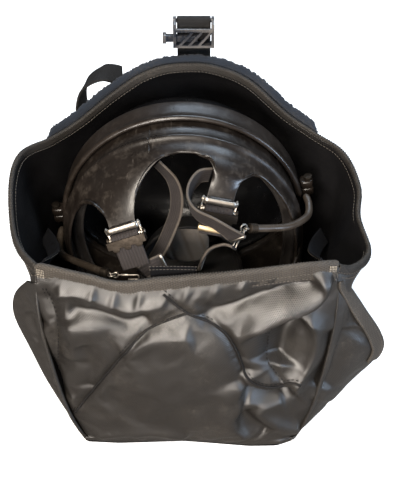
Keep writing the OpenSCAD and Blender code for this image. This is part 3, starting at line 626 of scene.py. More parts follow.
# Each fold: its line, half widths to the left and to the right of the way it runs, its height, and
# whether it belongs to the cloth above the overfold's lip, to the cloth below it, or to both
FOLDS = [
    (DIAGONAL_SEAM, 5, 4, -3.0, EVERYWHERE),
    (ARCH_SEAM, 3.5, 4.5, -3.0, EVERYWHERE),
    (LEFT_SEAM, 4.5, 4.5, -4.0, EVERYWHERE),
    (RIGHT_SEAM, 4, 4, -2.5, BELOW),
    ([(79, 134), (72, 118), (69, 101), (67, 89)], 9, 13, -14, BELOW),
    ([(84, 138), (91, 125), (93, 112), (91, 97), (86, 83), (82, 70), (80, 53)], 7, 5, 8, BELOW),
    ([(108, 124), (107, 103), (103, 82), (97, 64)], 17, 9, -4.5, EVERYWHERE),
    ([(41, 84), (46, 73), (54, 67), (66, 65), (76, 70), (82, 68)], 12, 2.0, 6, BELOW),
    ([(42, 67), (54, 60), (68, 59), (78, 65)], 4, 9, -9, BELOW),
    ([(44, 52), (59, 47), (73, 51)], 5, 6, 4, BELOW),
    ([(41, 42), (50, 29), (64, 17)], 6, 7, -5, BELOW),
    ([(50, 44), (62, 29), (78, 19), (88, 19)], 7, 6, 4, BELOW),
    ([(39, 76), (40, 52), (37, 38), (38, 24), (50, 8)], 3.2, 13, 6, BELOW),
    ([(8, 134), (28, 140), (45, 148), (60, 155), (78, 161), (96, 168)], 9, 7, -8, ABOVE),
    ([(-92, 154), (-74, 157), (-56, 151), (-40, 144), (-27, 144), (-11, 150)], 4, 6, 3.5, EVERYWHERE),
    ([(-80, 143), (-56, 139), (-38, 132), (-22, 137)], 6, 6, -5, EVERYWHERE),
    ([(-80, 135), (-77, 115), (-80, 92)], 7, 7, 4, EVERYWHERE),
    ([(-70, 112), (-66, 86), (-70, 62)], 6, 6, -3, EVERYWHERE),
    ([(-46, 104), (-20, 114), (8, 117)], 9, 9, 4, EVERYWHERE),
    ([(-70, 9), (-46, 16), (-20, 17), (4, 11)], 6, 6, 4, EVERYWHERE),
    ([(133, 110), (123, 92), (111, 64), (101, 47)], 13, 13, 3, EVERYWHERE),
    ([(-108, 140), (-104, 112), (-96, 84), (-86, 50)], 5, 6, -5, EVERYWHERE),
    ([(-99, 130), (-94, 100), (-86, 66), (-79, 34)], 3.5, 3.5, 3, EVERYWHERE),
]
# Each bulge: its middle, half widths and height
BULGES = [((-8, 84), (36, 30), 9), ((-68, 128), (20, 14), 7), ((12, 28), (20, 18), 4)]
PUCKERS = [
    (-84, 158), (-62, 155), (-47, 151), (-30, 150), (-12, 152), (2, 155),
    (22, 158), (40, 161), (60, 163), (82, 165),
]


def to_line(q, line):
    """Each flat point's distance from a line, its side (positive to the left) and its share along it."""
    line = curve(np.asarray(line, float), 5)
    a, d = line[:-1], np.diff(line, axis=0)
    rel = q[:, None] - a[None]
    t = np.clip((rel * d).sum(-1) / (d * d).sum(-1), 0, 1)
    off = rel - t[..., None] * d
    dist = np.linalg.norm(off, axis=-1)
    k = dist.argmin(axis=1)
    rows = np.arange(len(q))
    side = np.sign(d[k, 0] * rel[rows, k, 1] - d[k, 1] * rel[rows, k, 0])
    return dist[rows, k], side, (k + t[rows, k]) / len(d)


def folded(points):
    """Front panel points moved into their folds and bulges."""
    q = np.stack([points[:, 0], points[:, 2] + SLANT * (points[:, 1] - PANEL_Y)], 1)
    dist, side, _ = to_line(q, OVERFOLD)
    depth = dist * side
    edge = np.interp(q[:, 0], (30, 56), (15, 1.5))
    near = smooth_step(30, 54, q[:, 0]) * smooth_step(112, 100, q[:, 0])
    above = 0.5 + (smooth_step(-edge, 0.7 * edge, depth) - 0.5) * smooth_step(114, 101, q[:, 0])
    share = {EVERYWHERE: 1.0, ABOVE: above, BELOW: 1 - above}
    height = OVERFOLD_HEIGHT * np.exp(-(((depth - 2.5) / 9) ** 2)) * above * near
    drop = 4.0 * np.exp(-((depth / 6) ** 2)) * above * near
    for line, left, right, tall, zone in FOLDS:
        dist, side, along = to_line(q, line)
        ends = smooth_step(0, 0.14, along) * smooth_step(1, 0.86, along)
        height += ends * share[zone] * tall * np.exp(-((dist / np.where(side > 0, left, right)) ** 1.7))
    for middle, widths, tall in BULGES:
        r2 = (((q - middle) / widths) ** 2).sum(axis=1)
        height += tall * np.exp(-r2 / 1.3)
    for x, z in PUCKERS:
        away = np.abs(q[:, 0] - x - 0.25 * (q[:, 1] - z))
        height += 2.0 * np.exp(-((away / 2.6) ** 2) - ((q[:, 1] - z) / 7) ** 2)
    height += 1.0 * wobble(points, 60, 3) + 0.4 * wobble(points, 24, 4)
    rim = np.interp(points[:, 0], [p[0] for p in FRONT_RIM], [p[2] for p in FRONT_RIM])
    free = smooth_step(0, 9, rim - points[:, 2]) * smooth_step(0, 14, points[:, 2])
    moved = points.copy()
    moved += (height * free)[:, None] * unit(np.array([0, -1.0, 0.12]))
    moved[:, 2] -= drop * free
    proud = np.maximum(PROUD - moved[:, 1], 0)
    moved[:, 1] += 0.75 * proud
    return moved


def front_grid():
    """Points of the front cloth with its two ears, and which quads of the grid exist."""
    mouth = spaced(curve(FRONT_RIM), 1.9)
    shares = np.linspace(0.02, 1, 92)
    front = wall(mouth, shares)
    ear_rows = (shares < EAR_TOP) & (shares > EAR_LOW)

    def ear(corner, edge, count):
        line = spaced(curve(edge), 2.0)
        run = run_of(line)
        at = np.interp(shares, [EAR_LOW, EAR_TOP], [run[-1], 0])
        tip = np.stack([np.interp(at, run, line[:, k]) for k in range(3)], 1)
        k = np.linspace(0, 1, count + 1)[1:][None, :, None]
        grid = corner[:, None] * (1 - k) + tip[:, None] * k
        grid[..., 1] -= 3 * np.sin(np.pi * k[..., 0])
        return grid

    left = ear(front[:, 0], LEFT_EDGE, LEFT_EAR)[:, ::-1]
    right = ear(front[:, -1], RIGHT_EDGE, RIGHT_EAR)
    grid = np.concatenate([left, front, right], axis=1)
    rows, cols = grid.shape[:2]
    away = np.minimum(np.abs(np.arange(cols) - LEFT_EAR), np.abs(np.arange(cols) - (cols - 1 - RIGHT_EAR)))
    soft = (smooth_step(0.97, 0.75, shares)[:, None] * smooth_step(22, 8, away))[1:-1, 1:-1, None]
    for _ in range(260):
        middle = (grid[1:-1, :-2] + 2 * grid[1:-1, 1:-1] + grid[1:-1, 2:]) / 4
        grid[1:-1, 1:-1] += soft * ear_rows[1:-1, None, None] * (middle - grid[1:-1, 1:-1])
    keep = np.ones((rows - 1, cols - 1), bool)
    both = ear_rows[:-1] & ear_rows[1:]
    keep[~both, :LEFT_EAR] = False
    keep[~both, cols - 1 - RIGHT_EAR :] = False
    return folded(grid.reshape(-1, 3)).reshape(grid.shape), keep, ear_rows


LEFT_EAR, RIGHT_EAR = 12, 24
SETTLE_FRAMES = 20
SETTLE_CAP = 2.0


def settled(obj, pinned, growth, cap, pressure=0.0, stiffness=12.0):
    """Runs a short cloth simulation on obj and keeps the result, with no point moved further than cap."""
    before = np.array([v.co for v in obj.data.vertices]) / MM
    group = obj.vertex_groups.new(name="pin")
    for index, weight in enumerate(pinned):
        if weight > 0:
            group.add([index], float(weight), "REPLACE")
    cloth = add(obj, "CLOTH")
    cloth.settings.quality = 6
    cloth.settings.mass = 0.25
    cloth.settings.tension_stiffness = stiffness
    cloth.settings.compression_stiffness = stiffness
    cloth.settings.bending_stiffness = 2.5
    cloth.settings.shrink_min = growth
    cloth.settings.vertex_group_mass = "pin"
    cloth.settings.effector_weights.gravity = 0.0
    if pressure:
        cloth.settings.use_pressure = True
        cloth.settings.uniform_pressure_force = pressure
    for number in range(1, SETTLE_FRAMES + 1):
        bpy.context.scene.frame_set(number)
    shape = obj.evaluated_get(bpy.context.evaluated_depsgraph_get())
    after = np.array([v.co for v in shape.data.vertices]) / MM
    obj.modifiers.clear()
    obj.vertex_groups.clear()
    move = after - before
    far = np.linalg.norm(move, axis=1, keepdims=True)
    move *= np.minimum(1, cap / np.maximum(far, 1e-6))
    obj.data.vertices.foreach_set("co", ((before + move) * MM).ravel())
    obj.data.update()


def front_cloth():
    """The front of the pouch with both ears: one settled cloth, returned with a tree to drape things on."""
    grid, keep, _ = front_grid()
    obj = sheet("pouch_front_cloth", grid, keep)
    points = np.array([v.co for v in obj.data.vertices]) / MM
    rim = np.interp(points[:, 0], [p[0] for p in FRONT_RIM], [p[2] for p in FRONT_RIM])
    held = np.maximum(smooth_step(5, 1, rim - points[:, 2]), smooth_step(7, 3, points[:, 2]))
    for edge in (RIGHT_EDGE, LEFT_EDGE):
        line = curve(edge)
        away = np.min(np.linalg.norm(points[:, None] - line[None], axis=2), axis=1)
        held = np.maximum(held, 0.9 * smooth_step(8, 2, away))
    q = np.stack([points[:, 0], points[:, 2] + SLANT * (points[:, 1] - PANEL_Y)], 1)
    for seam in (DIAGONAL_SEAM, ARCH_SEAM, LEFT_SEAM, RIGHT_SEAM):
        held = np.maximum(held, 0.8 * smooth_step(3, 1, to_line(q, seam)[0]))
    settled(obj, held, -0.012, SETTLE_CAP)
    add(obj, "SUBSURF", levels=1, render_levels=1)
    shape = obj.evaluated_get(bpy.context.evaluated_depsgraph_get())
    places = [v.co / MM for v in shape.data.vertices]
    tree = BVHTree.FromPolygons(places, [p.vertices for p in shape.data.polygons])
    add(obj, "SOLIDIFY", thickness=CLOTH * MM, offset=-1, use_even_offset=False)
    dress(obj, "pouch", "pouch_shell", "pouch_front", "left_ear_panel", "right_ear_panel")
    return tree


def draped(tree, line, step=1.2, lift=0.0):
    """A seam line laid on the front: its points and the cloth's normals there."""
    ray = Vector((0, 1, -SLANT)).normalized()
    spots, normals = [], []
    for x, z in spaced(curve(line), step):
        start = Vector((x, PANEL_Y, z)) - ray * 90
        at, normal, _, _ = tree.ray_cast(start, ray, 160)
        if at is None:
            continue
        if normal.dot(ray) > 0:
            normal = -normal
        spots.append(at + normal * lift)
        normals.append(normal)
    spots, normals = np.array(spots), np.array(normals)
    for _ in range(2):
        spots[1:-1] = (spots[:-2] + 2 * spots[1:-1] + spots[2:]) / 4
        normals[1:-1] = unit(normals[:-2] + 2 * normals[1:-1] + normals[2:])
    return spots, normals


def beside(seam, gap):
    """A row at a sideways gap from a draped seam."""
    path, normal = seam
    return path + gap * unit(np.cross(heading(path), normal)), normal


def front_seams(tree):
    piping_r = 1.0
    rows = []
    for name, line, side in (("diagonal_piping", DIAGONAL_SEAM, 1), ("arch_piping", ARCH_SEAM, 1)):
        seam = draped(tree, line, lift=0.4)
        tube(name, seam[0], piping_r, "pouch", "seam_cord", n=12)
        rows.append(beside(draped(tree, line), -2.6 * side))
    rows += [draped(tree, LEFT_SEAM), draped(tree, RIGHT_SEAM), beside(draped(tree, LEFT_SEAM), 2.4)]
    stitching("front_stitches", rows, "pouch", "seam_cord", pitch=3.4, length=2.3, r=0.5)


# ---------------------------------------------------------------- bindings, hems and bands


def binding(name, path, slot, half, skirt, rise, *nodes):
    """Ribbed tape folded over the cloth edge along a path, with two rows of stitches on its outer face."""
    path = spaced(path, 0.6)
    run = run_of(path)
    n = outward(path)
    along = heading(path)
    up = unit(np.cross(n, along) * np.sign(np.cross(n, along)[:, 2:]))
    arc = np.linspace(0, np.pi, 9)
    outer = [(half, -skirt), (half, -skirt * 0.7), (half, -skirt * 0.35)]
    outer += [(half * math.cos(a), rise + half * math.sin(a)) for a in arc]
    outer += [(-half, -skirt * 0.35), (-half, -skirt * 0.7), (-half, -skirt)]
    thin = 0.8
    inner = [(-half + thin, -skirt)]
    inner += [(-(half - thin) * math.cos(a), rise + (half - thin) * math.sin(a)) for a in arc[::2]]
    inner += [(half - thin, -skirt)]
    profile = np.array(outer + inner, float)
    height = profile[:, 1]
    phase = 2 * np.pi * (run[:, None] / 2.0 + np.abs(height[None] - rise) / 5.0)
    rib = 0.3 * np.sin(phase)
    rib[:, len(outer) :] = 0
    sign = np.sign(profile[:, 0])
    profile = np.repeat(profile[None], len(path), axis=0)
    profile[..., 0] += rib * sign
    profile[..., 1] += np.where(height > rise, rib, 0)
    centre = path - n * CLOTH / 2
    centre[:, 2] += 0.35 * wobble(path, 20, 8)
    obj = skin(name, carried(centre, n, up, profile))
    dress(obj, "pouch", slot, *nodes)
    rows = [(centre + n * (half + 0.15) + up * h, n) for h in (-skirt * 0.82, -skirt * 0.42)]
    return rows


def bindings():
    front = spaced(curve(FRONT_RIM), 1)
    hood = spaced(curve(HOOD_EDGE), 1)
    rows = binding("front_rim_tape", front, "binding", 2.8, 10.5, 1.6, "front_rim_binding")
    stitching("front_rim_stitches", rows, "pouch", pitch=2.6, length=1.9, r=0.3)
    rows = binding("hood_edge_tape", hood[3:-3], "edge_tape", 1.7, 4.0, 0.6, "hood_edge_binding")
    inside = [(path - n * 5.0, -n) for path, n in rows]
    stitching("hood_edge_stitches", rows[:1] + inside[:1], "pouch", pitch=2.6, length=1.9, r=0.26)


def corner_tacks():
    """Bar tacks that close the tape's ends at the two corners of the mouth, in a pale thread whose light colour is
    a painted glint on the tape ends.
    """
    rim = spaced(curve(FRONT_RIM), 1.2)
    rows = []
    for spot in np.concatenate([rim[2:7], rim[-7:-2]]):
        n = outward(spot[None])[0]
        path = spot + 2.0 * n + np.linspace(-7, 1, 8)[:, None] * (0, 0, 1)
        rows.append((path, np.tile(n, (8, 1))))
    # The pale thread paints the glint on the tape ends at the two corners
    stitching("corner_tacks", rows, "pouch", "painted_glint_thread", pitch=1.9, length=1.7, r=0.3)


def ear_hem():
    """Stiffened strip along the outer edge of the right ear, and its row of stitches."""
    grid, _, ear_rows = front_grid()
    ear = grid[ear_rows][:, -RIGHT_EAR - 1 :]
    top = ear[len(ear) // 2 - 4 :]
    reach, steps = 14, 8
    strip = []
    for row in top:
        back = row[::-1]
        run = run_of(back)
        at = np.linspace(0, min(reach, run[-1] * 0.8), steps)
        strip.append(np.stack([np.interp(at, run, back[:, k]) for k in range(3)], 1))
    strip = np.array(strip)
    strip[..., 1] -= 1.9
    obj = sheet("right_ear_hem", strip, flip=True)
    add(obj, "SUBSURF", levels=1, render_levels=1)
    add(obj, "SOLIDIFY", thickness=1.3 * MM, offset=0)
    dress(obj, "pouch", "binding")
    inner = strip[:, -2] - np.array([0, 0.7, 0])
    outer = strip[:, 1] - np.array([0, 0.7, 0])
    normal = np.tile([0, -1.0, 0], (len(inner), 1))
    rows = [(inner, normal), (outer, normal)]
    stitching("right_ear_stitches", rows, "pouch", pitch=3.0, length=2.1, r=0.34)


FLARE = 11


def hood():
    """Back and sides of the pouch up to the hood's edge: coated cloth outside, dark lining inside."""
    mouth = spaced(curve(HOOD_EDGE), 2.6)
    shares = np.linspace(0.012, 1, 70)
    grid = wall(mouth, shares)
    front = smooth_step(62, -10, mouth[:, 1]) * smooth_step(-64, -48, mouth[:, 1])
    tuck = FLARE * front[None] * np.sin(np.pi * np.clip((1 - shares) / 0.75, 0, 1))[:, None] ** 0.8
    grid -= outward(mouth)[None] * tuck[..., None]
    points = grid.reshape(-1, 3)
    share = np.repeat(np.linspace(0, 1, 70), len(mouth))
    free = smooth_step(0, 0.12, share) * smooth_step(0, 0.1, 1 - share)
    n = np.tile(outward(mouth), (70, 1))
    sag = 1.6 * wobble(points, 70, 11) + 0.9 * wobble(points, 26, 12)
    for angle, deep in ((-62, 3.0), (-118, 2.6), (38, 2.2), (150, 2.4), (96, 1.6)):
        around = np.degrees(np.arctan2(points[:, 1] - POUCH_MID[1], points[:, 0] - POUCH_MID[0]))
        line = angle + 10 * (share - 0.5) + 3 * np.sin(9 * share)
        sag -= deep * np.exp(-(((around - line) / 5) ** 2)) * np.sin(np.pi * share)
    ends = np.minimum(np.arange(len(mouth)), np.arange(len(mouth))[::-1])
    free = free * np.tile(smooth_step(0, 6, ends), 70)
    points = points + n * (sag * free)[:, None]
    grid = points.reshape(grid.shape)
    obj = sheet("pouch_hood", grid)
    add(obj, "SUBSURF", levels=1, render_levels=1)
    add(obj, "SOLIDIFY", thickness=CLOTH * MM, offset=-1, use_even_offset=False, material_offset=1)
    dress(obj, "pouch", "pouch_inside", "pouch_back")
    obj.data.materials.clear()
    obj.data.materials.append(material("pouch_shell"))
    obj.data.materials.append(material("pouch_inside"))
    return grid, mouth


def hood_seams(grid, mouth):
    """Piped seams down the two back corners and a stitched row below the edge, all on the outside."""
    n = outward(mouth)
    rows = []
    for name, x in (("right_back_piping", 84), ("left_back_piping", -88)):
        behind = np.where(mouth[:, 1] > 40)[0]
        col = behind[np.abs(mouth[behind, 0] - x).argmin()]
        path = grid[2:-3, col] + n[col] * 0.6
        tube(name, path, 1.1, "pouch", "pouch_shell", n=12)
        for shift in (-3.0, 3.0):
            along = np.cross(n[col], [0, 0, 1.0])
            rows.append((path + along * shift - n[col] * 0.35, np.tile(n[col], (len(path), 1))))
    tape = grid[-4, 2:-2] + n[2:-2] * 0.2
    rows.append((tape, n[2:-2]))
    stitching("hood_stitches", rows, "pouch", pitch=3.4, length=2.4, r=0.38)


FLEECE = [
    (1.6, -21), (3.6, -21.5), (5.2, -18), (5.8, -12), (6.2, -6), (6.6, 0), (6.4, 3.4), (5.0, 5.4), (3.4, 5.6),
    (2.2, 4.4), (1.6, 2), (1.2, -6), (1.2, -14),
]


def fleece():
    """Fuzzy pile band sewn round the outside of the hood, standing a little above its edge."""
    path = curve(HOOD_EDGE)
    mouth = spaced(path[6 * 8 : 14 * 8 + 1], 1.0)
    count = len(mouth)
    n = outward(mouth)
    ends = smooth_step(0, 9, np.minimum(np.arange(count), np.arange(count)[::-1]))
    rows = []
    for off, rise in FLEECE:
        height = mouth[:, 2].mean()
        row = wall(mouth, [min(1, 1 + rise / height)])[0]
        row[:, 2] += max(rise, 0) * (0.3 + 0.7 * ends)
        tuft = rng.uniform(-0.6, 0.8, (count, 2)) * smooth_step(1.8, 3.4, off)
        row += n * (off * (0.3 + 0.7 * ends) + tuft[:, 0])[:, None]
        row[:, 2] += tuft[:, 1]
        rows.append(row)
    dress(skin("hood_fleece", np.array(rows).transpose(1, 0, 2)), "pouch", "fleece", "hood_fleece_band")


def closure_tapes():
    """Hook-tape strips inside the two corners, with their stitched edges."""
    for side, s in (("left", -1), ("right", 1)):
        marks = [(s * 99, -50, 158), (s * 93, -30, 148), (s * 97, -8, 140), (s * 104, 8, 136)]
        path = spaced(curve(marks), 1.6)
        across = unit([-s * 0.6, 0.1, 0.8])
        ribbon(f"{side}_hook_strip", path, across, 13, 1.6, "pouch", "hook_tape", f"{side}_closure_tape")
        along = heading(path)
        n = unit(np.cross(along, across)) * -s
        edge = unit(np.cross(n, along))
        rows = [(path + n * 0.9 + edge * d, n) for d in (-5.6, 5.6)]
        stitching(f"{side}_strip_stitches", rows, "pouch", pitch=2.8, length=2.0, r=0.25)


def label():
    """Blank fabric tab sewn behind the front rim."""
    lo, hi = box_mm("name_tab")
    mid = (lo + hi) / 2 + (0, 1.5, 4.5)
    size = hi - lo
    x = np.linspace(lo[0], hi[0], 24)
    bow = 0.5 * np.sin(np.pi * np.linspace(0, 1, 24))
    path = np.stack([x, mid[1] + bow, np.full(24, mid[2])], 1)
    ribbon("blank_tab", path, (0, 0, 1), size[2], size[1] * 0.8, "pouch", "hook_tape", "name_tab")
    rows = []
    for z in (-0.32, 0.32):
        line = path + np.array([0, -size[1] * 0.4, z * size[2]])
        rows.append((line, np.tile([0, -1.0, 0], (24, 1))))
    edge = path + np.array([0, 0, size[2] / 2])
    rows.append((edge, np.tile([0, 0, 1.0], (24, 1))))
    stitching("blank_tab_stitches", rows, "pouch", pitch=2.4, length=1.5, r=0.22)


def loop_and_webbing():
    marks = [(-74, 92, 176), (-80, 100, 192), (-76, 104, 208), (-62, 103, 218), (-48, 106, 214)]
    path = spaced(curve(marks), 1.2)
    ribbon("carry_handle", path, unit([0.3, 0.9, 0.2]), 18, 2.0, "pouch", "webbing", "carry_loop")
    lo, hi = box_mm("closure_strap")
    x, y = (lo[0] + hi[0]) / 2, joint_at("closure_buckle_pivot")[1]
    top = joint_at("closure_buckle_pivot")[2]
    turn = np.linspace(-0.15, 1.1, 14)[:, None] * np.pi
    fold = np.hstack([np.full((14, 1), x), y - 2.5 * np.cos(turn), top + 2.5 * np.sin(turn)])[::-1]
    down = np.array([(x, y + 2.4, top - 12), (x, y + 2.2, top - 30), (x, y + 1.6, lo[2] + 1)])
    hem = np.array([(x, y + 0.1, top - 13), (x, y - 2.2, top - 6)])
    path = spaced(np.vstack([hem, fold[::-1], down]), 1.0)
    ribbon("closure_webbing_strap", path, (1, 0, 0), hi[0] - lo[0], 1.7, "pouch", "webbing", "closure_strap")
    rows = []
    for k in range(3):
        z = top - 16 - 4 * k
        line = np.linspace((x - 9, y + 3.3, z), (x + 9, y + 3.3, z), 20)
        rows.append((line, np.tile([0, 1.0, 0], (20, 1))))
    stitching("closure_stitches", rows, "pouch", pitch=2.6, length=1.9, r=0.28)


def base():
    """Pouch floor: a rounded tray of doubled cloth."""
    loop = np.vstack([spaced(curve(FRONT_RIM), 4)[:-1], spaced(curve(HOOD_EDGE), 4)[:-1]])
    flat = np.hstack([base_under(loop), np.zeros((len(loop), 1))])
    centre = np.array([POUCH_MID[0], POUCH_MID[1], 0])
    rings = []
    edge = ((9, 0.25), (4, 0.05), (1.2, 0.0), (0.2, 0.8), (0.0, 2.0), (0.8, 2.8), (4, 3.0), (9, 3.0))
    for inset, z in edge:
        ring = flat - unit(flat - centre) * inset
        ring[:, 2] = z
        rings.append(ring)
    dress(skin("pouch_base", np.array(rings)), "pouch", "pouch_inside", "pouch_floor")

# ---------------------------------------------------------------- facepiece outline


def outline(angles, d, low):
    """Face (x, z) of the outline at angles in degrees; below the lens centre it is drawn out by low."""
    a = np.radians(np.asarray(angles, float))
    d = np.asarray(d, float)
    return (LENS_R + d) * np.cos(a), np.where(np.sin(a) > 0, LENS_R + d, low + d) * np.sin(a)


def outline_rings(angles, low, profile):
    """Rings of row points: a (y, offset) profile carried round the outline."""
    profile = np.asarray(profile, float)
    a = np.asarray(angles, float)[:, None]
    x, z = outline(a, profile[None, :, 1], low)
    y = np.broadcast_to(profile[None, :, 0], x.shape)
    return face(np.stack([x, y, z], -1))


def loop_solid(name, angles, low, profile, closed):
    """Solid with a closed (y, offset) profile carried round the outline, all the way or part of it."""
    rings = outline_rings(angles, low, profile)
    if not closed:
        return skin(name, rings)
    rows, cols = rings.shape[:2]
    faces = [
        (
            j * cols + i,
            j * cols + (i + 1) % cols,
            (j + 1) % rows * cols + (i + 1) % cols,
            (j + 1) % rows * cols + i,
        )
        for j in range(rows)
        for i in range(cols)
    ]
    return outwards(make(name, rings.reshape(-1, 3), faces))


# ---------------------------------------------------------------- face blank

STEP = 1.5
# Profile of the band from the lens frame back to its rear lip, with the ridge that stiffens it
BAND = [
    (10, 0), (7, 0), (4, 0), (1, 0), (-3, -0.2), (-7, -0.4), (-11, -0.4), (-14, -0.1), (-16, 0.7),
    (-17.4, 1.9),
    (-18.6, 2.8), (-19.6, 3.1), (-20.6, 2.8), (-21.8, 1.8), (-23.2, 0.6), (-25.4, -0.3), (-28, -0.9),
    (-30.6, -1.6), (-33, -2.6),
]
# Tabs at the temples: the angles where the root starts and ends, how far each side runs on along the rim
# before it turns down, and the face direction of the end
TABS = {
    "left_temple": ((150, 84), (26, 21), (2.4, -12, -10.3)),
    "right_temple": ((75, 40.5), (20, 8), (-3.5, -10, -7.8)),
}
TAB_ROWS = 18
EXHALE_AT = (0, -14, -CHIN_LOW)
EXHALE_HOLE_R = 13.6
HEM_HALF = 9.6


def buckle_frame(side):
    """Bar centre and the x, y and z directions of a temple buckle, with z up along the hang."""
    at = joint_at(f"{side}_buckle_pivot")
    x = -unit(joint_axis(f"{side}_buckle_pivot"))
    z = unit(at - joint_at(f"{side}_roller_spin"))
    return at, x, np.cross(z, x), z


def tab_points(side, angles, root):
    """Rows of points that carry the band's rear edge on to the hem of a buckle."""
    (first, last), (turn_first, turn_last), end = TABS[side]
    at, x, _, _ = buckle_frame(side)
    u = (first + last - 2 * angles) / (first - last)
    target = at + x * (u * HEM_HALF)[:, None]
    a = np.radians(angles)
    around = face_dirs(np.stack([-np.sin(a), 0 * a, np.cos(a)], 1)) * np.sign(u)[:, None]
    inward = face_dirs(np.stack([-np.cos(a), 0 * a, -np.sin(a)], 1))
    edge = (np.abs(u) ** 3)[:, None]
    turn = np.where(u < 0, turn_first, turn_last)[:, None]
    leave = root + 17 * (1 - edge) * (inward * 0.25 - FACE_Y) + edge * (around * turn - FACE_Y * 2)
    arrive = target - unit(face_dirs([end])) * (15 + 5 * edge)
    rows = [bezier(root, leave, arrive, target, t) for t in np.linspace(0, 1, TAB_ROWS + 1)[1:]]
    return np.array(rows)


def face_blank():
    """Rubber band round the lens with its two temple tabs, as one skin."""
    angles = np.arange(0, 360, STEP)
    rings = outline_rings(angles, CHIN_LOW, BAND).transpose(1, 0, 2)
    rows, cols = rings.shape[:2]
    points = rings.reshape(-1, 3)
    port = face(np.array([EXHALE_AT], float))[0]
    faces = []
    for quad in lattice(rows, cols, wrap=True)[0].tolist():
        away = points[quad].mean(axis=0) - port
        if away @ FACE_Z > 20 or np.linalg.norm(np.cross(away, FACE_Z)) > EXHALE_HOLE_R:
            faces.append(quad)
    for side, ((first, last), _, _) in TABS.items():
        chosen = np.where((angles <= first + 0.01) & (angles >= last - 0.01))[0]
        grid = tab_points(side, angles[chosen], rings[-1][chosen])
        base = len(points)
        points = np.vstack([points, grid.reshape(-1, 3)])
        patch = base + np.arange(grid[..., 0].size).reshape(grid.shape[:2])
        index = np.vstack([(rows - 1) * cols + chosen, patch])
        for upper, lower in zip(index, index[1:]):
            faces += [(upper[k], upper[k + 1], lower[k + 1], lower[k]) for k in range(len(chosen) - 1)]
    dented = points + 0.25 * wobble(points, 30, 31)[:, None] * unit(points - FACE_AT)
    obj = make("face_blank_skin", dented, faces)
    add(obj, "SOLIDIFY", thickness=RUBBER * 0.75 * MM, offset=-1, use_even_offset=False, thickness_clamp=0.5)
    add(obj, "SUBSURF", levels=2, render_levels=2)
    dress(obj, "facepiece", "face_rubber", "face_blank")
    for side in TABS:
        at, x, _, _ = buckle_frame(side)
        s = np.linspace(-1, 1, 15)
        swell = 2.45 * np.clip(1.04 - np.abs(s) ** 12, 0, 1)
        tube(f"{side}_hem", at + x * (s * HEM_HALF)[:, None], swell, "facepiece", "face_rubber", n=24)
    seam = [(y, d + 0.12) for y, d in BAND[2:-1]]
    line = outline_rings([97.5], CHIN_LOW, seam)[0]
    tube("mould_line", spaced(line, 1.5), 0.32, "facepiece", "face_rubber", n=8)
    chin_wall()
    rim = [(7, 0), (19.5, 0), (20, -0.6), (20, -2.6), (19, -3), (7, -3)]
    dress(loop_solid("lens_groove_band", angles, LENS_LOW, rim, True), "facepiece", "face_rubber")
    cheek_tabs()


def chin_wall():
    """Flat wall between the lens and the chin, open for the port and the voice diaphragm."""
    below = np.arange(180, 361, 3.0)
    outer_side = np.stack(outline(below, -1.6, CHIN_LOW), 1)
    inner_side = np.stack(outline(below[::-1], -2.6, LENS_LOW), 1)
    loops = [np.vstack([outer_side, inner_side])]
    holes = [((0, PORT_Z), 22.6), ((-43, -74), 12.9)]
    for middle, r in holes:
        loops.append(np.array(middle) + circle(r, 48))
    flat = [Vector(p) for loop in loops for p in loop]
    edges, base = [], 0
    for loop in loops:
        edges += [(base + k, base + (k + 1) % len(loop)) for k in range(len(loop))]
        base += len(loop)
    made = delaunay_2d_cdt(flat, edges, [], 1, 1e-4)
    spots = np.array([tuple(v) for v in made[0]])
    chosen = []
    for triangle in made[2]:
        middle = spots[list(triangle)].mean(axis=0)
        if all(np.linalg.norm(middle - np.array(m)) > r * 0.99 for m, r in holes):
            chosen.append(triangle)
    lens = np.array([(p[0] / (LENS_R - 2.6)) ** 2 + (p[1] / (LENS_LOW - 2.6)) ** 2 for p in
                     [spots[list(t)].mean(axis=0) for t in chosen]])
    chosen = [t for t, inside in zip(chosen, lens < 0.99) if not inside]
    points = face(np.stack([spots[:, 0], np.full(len(spots), 8.0), spots[:, 1]], 1))
    obj = make("chin_wall", points, chosen)
    add(obj, "SOLIDIFY", thickness=4 * MM, offset=-1 if obj.data.polygons[0].normal.y > 0 else 1)
    add(obj, "BEVEL", width=0.5 * MM, segments=2, limit_method="ANGLE")
    dress(obj, "facepiece", "face_rubber")


def cheek_frame(s):
    """Bar centre and x, y and z directions of a cheek buckle; s is -1 on the left."""
    side = "left" if s < 0 else "right"
    x, y, z = face_dirs([(0, 0, s), (s, 0, 0), (0, 1, 0)])
    return joint_at(f"{side}_cheek_roller_spin") + LINK_DROP * z, x, y, z


def cheek_tabs():
    """Rubber tabs from the sides of the blank to the cheek buckles, with their hems."""
    for s in (-1, 1):
        side = "left" if s < 0 else "right"
        at, x, y, z = cheek_frame(s)
        root = at + z * 19 + y * (LENS_R - 78.5)
        path = spaced(bezier(root + z * 6, root, at + z * 8, at, np.linspace(0, 1, 16)[:, None]), 1.6)
        share = np.linspace(1, 0, len(path))
        widths = 18 + 12 * share**2.5
        edge = np.broadcast_to(x, path.shape)
        along = heading(path)
        face_dir = unit(np.cross(along, edge))
        profiles = np.array([round_bar(w, RUBBER * 0.8) for w in widths])
        dress(skin(f"{side}_cheek_tab", carried(path, edge, face_dir, profiles)), "facepiece", "face_rubber")
        line = np.linspace(-HEM_HALF, HEM_HALF, 15)
        swell = 2.45 * np.clip(1.04 - np.abs(line / HEM_HALF) ** 12, 0, 1)
        tube(f"{side}_cheek_hem", at + x * line[:, None], swell, "facepiece", "face_rubber", n=24)


# ---------------------------------------------------------------- lens frame, visor, seal and cup

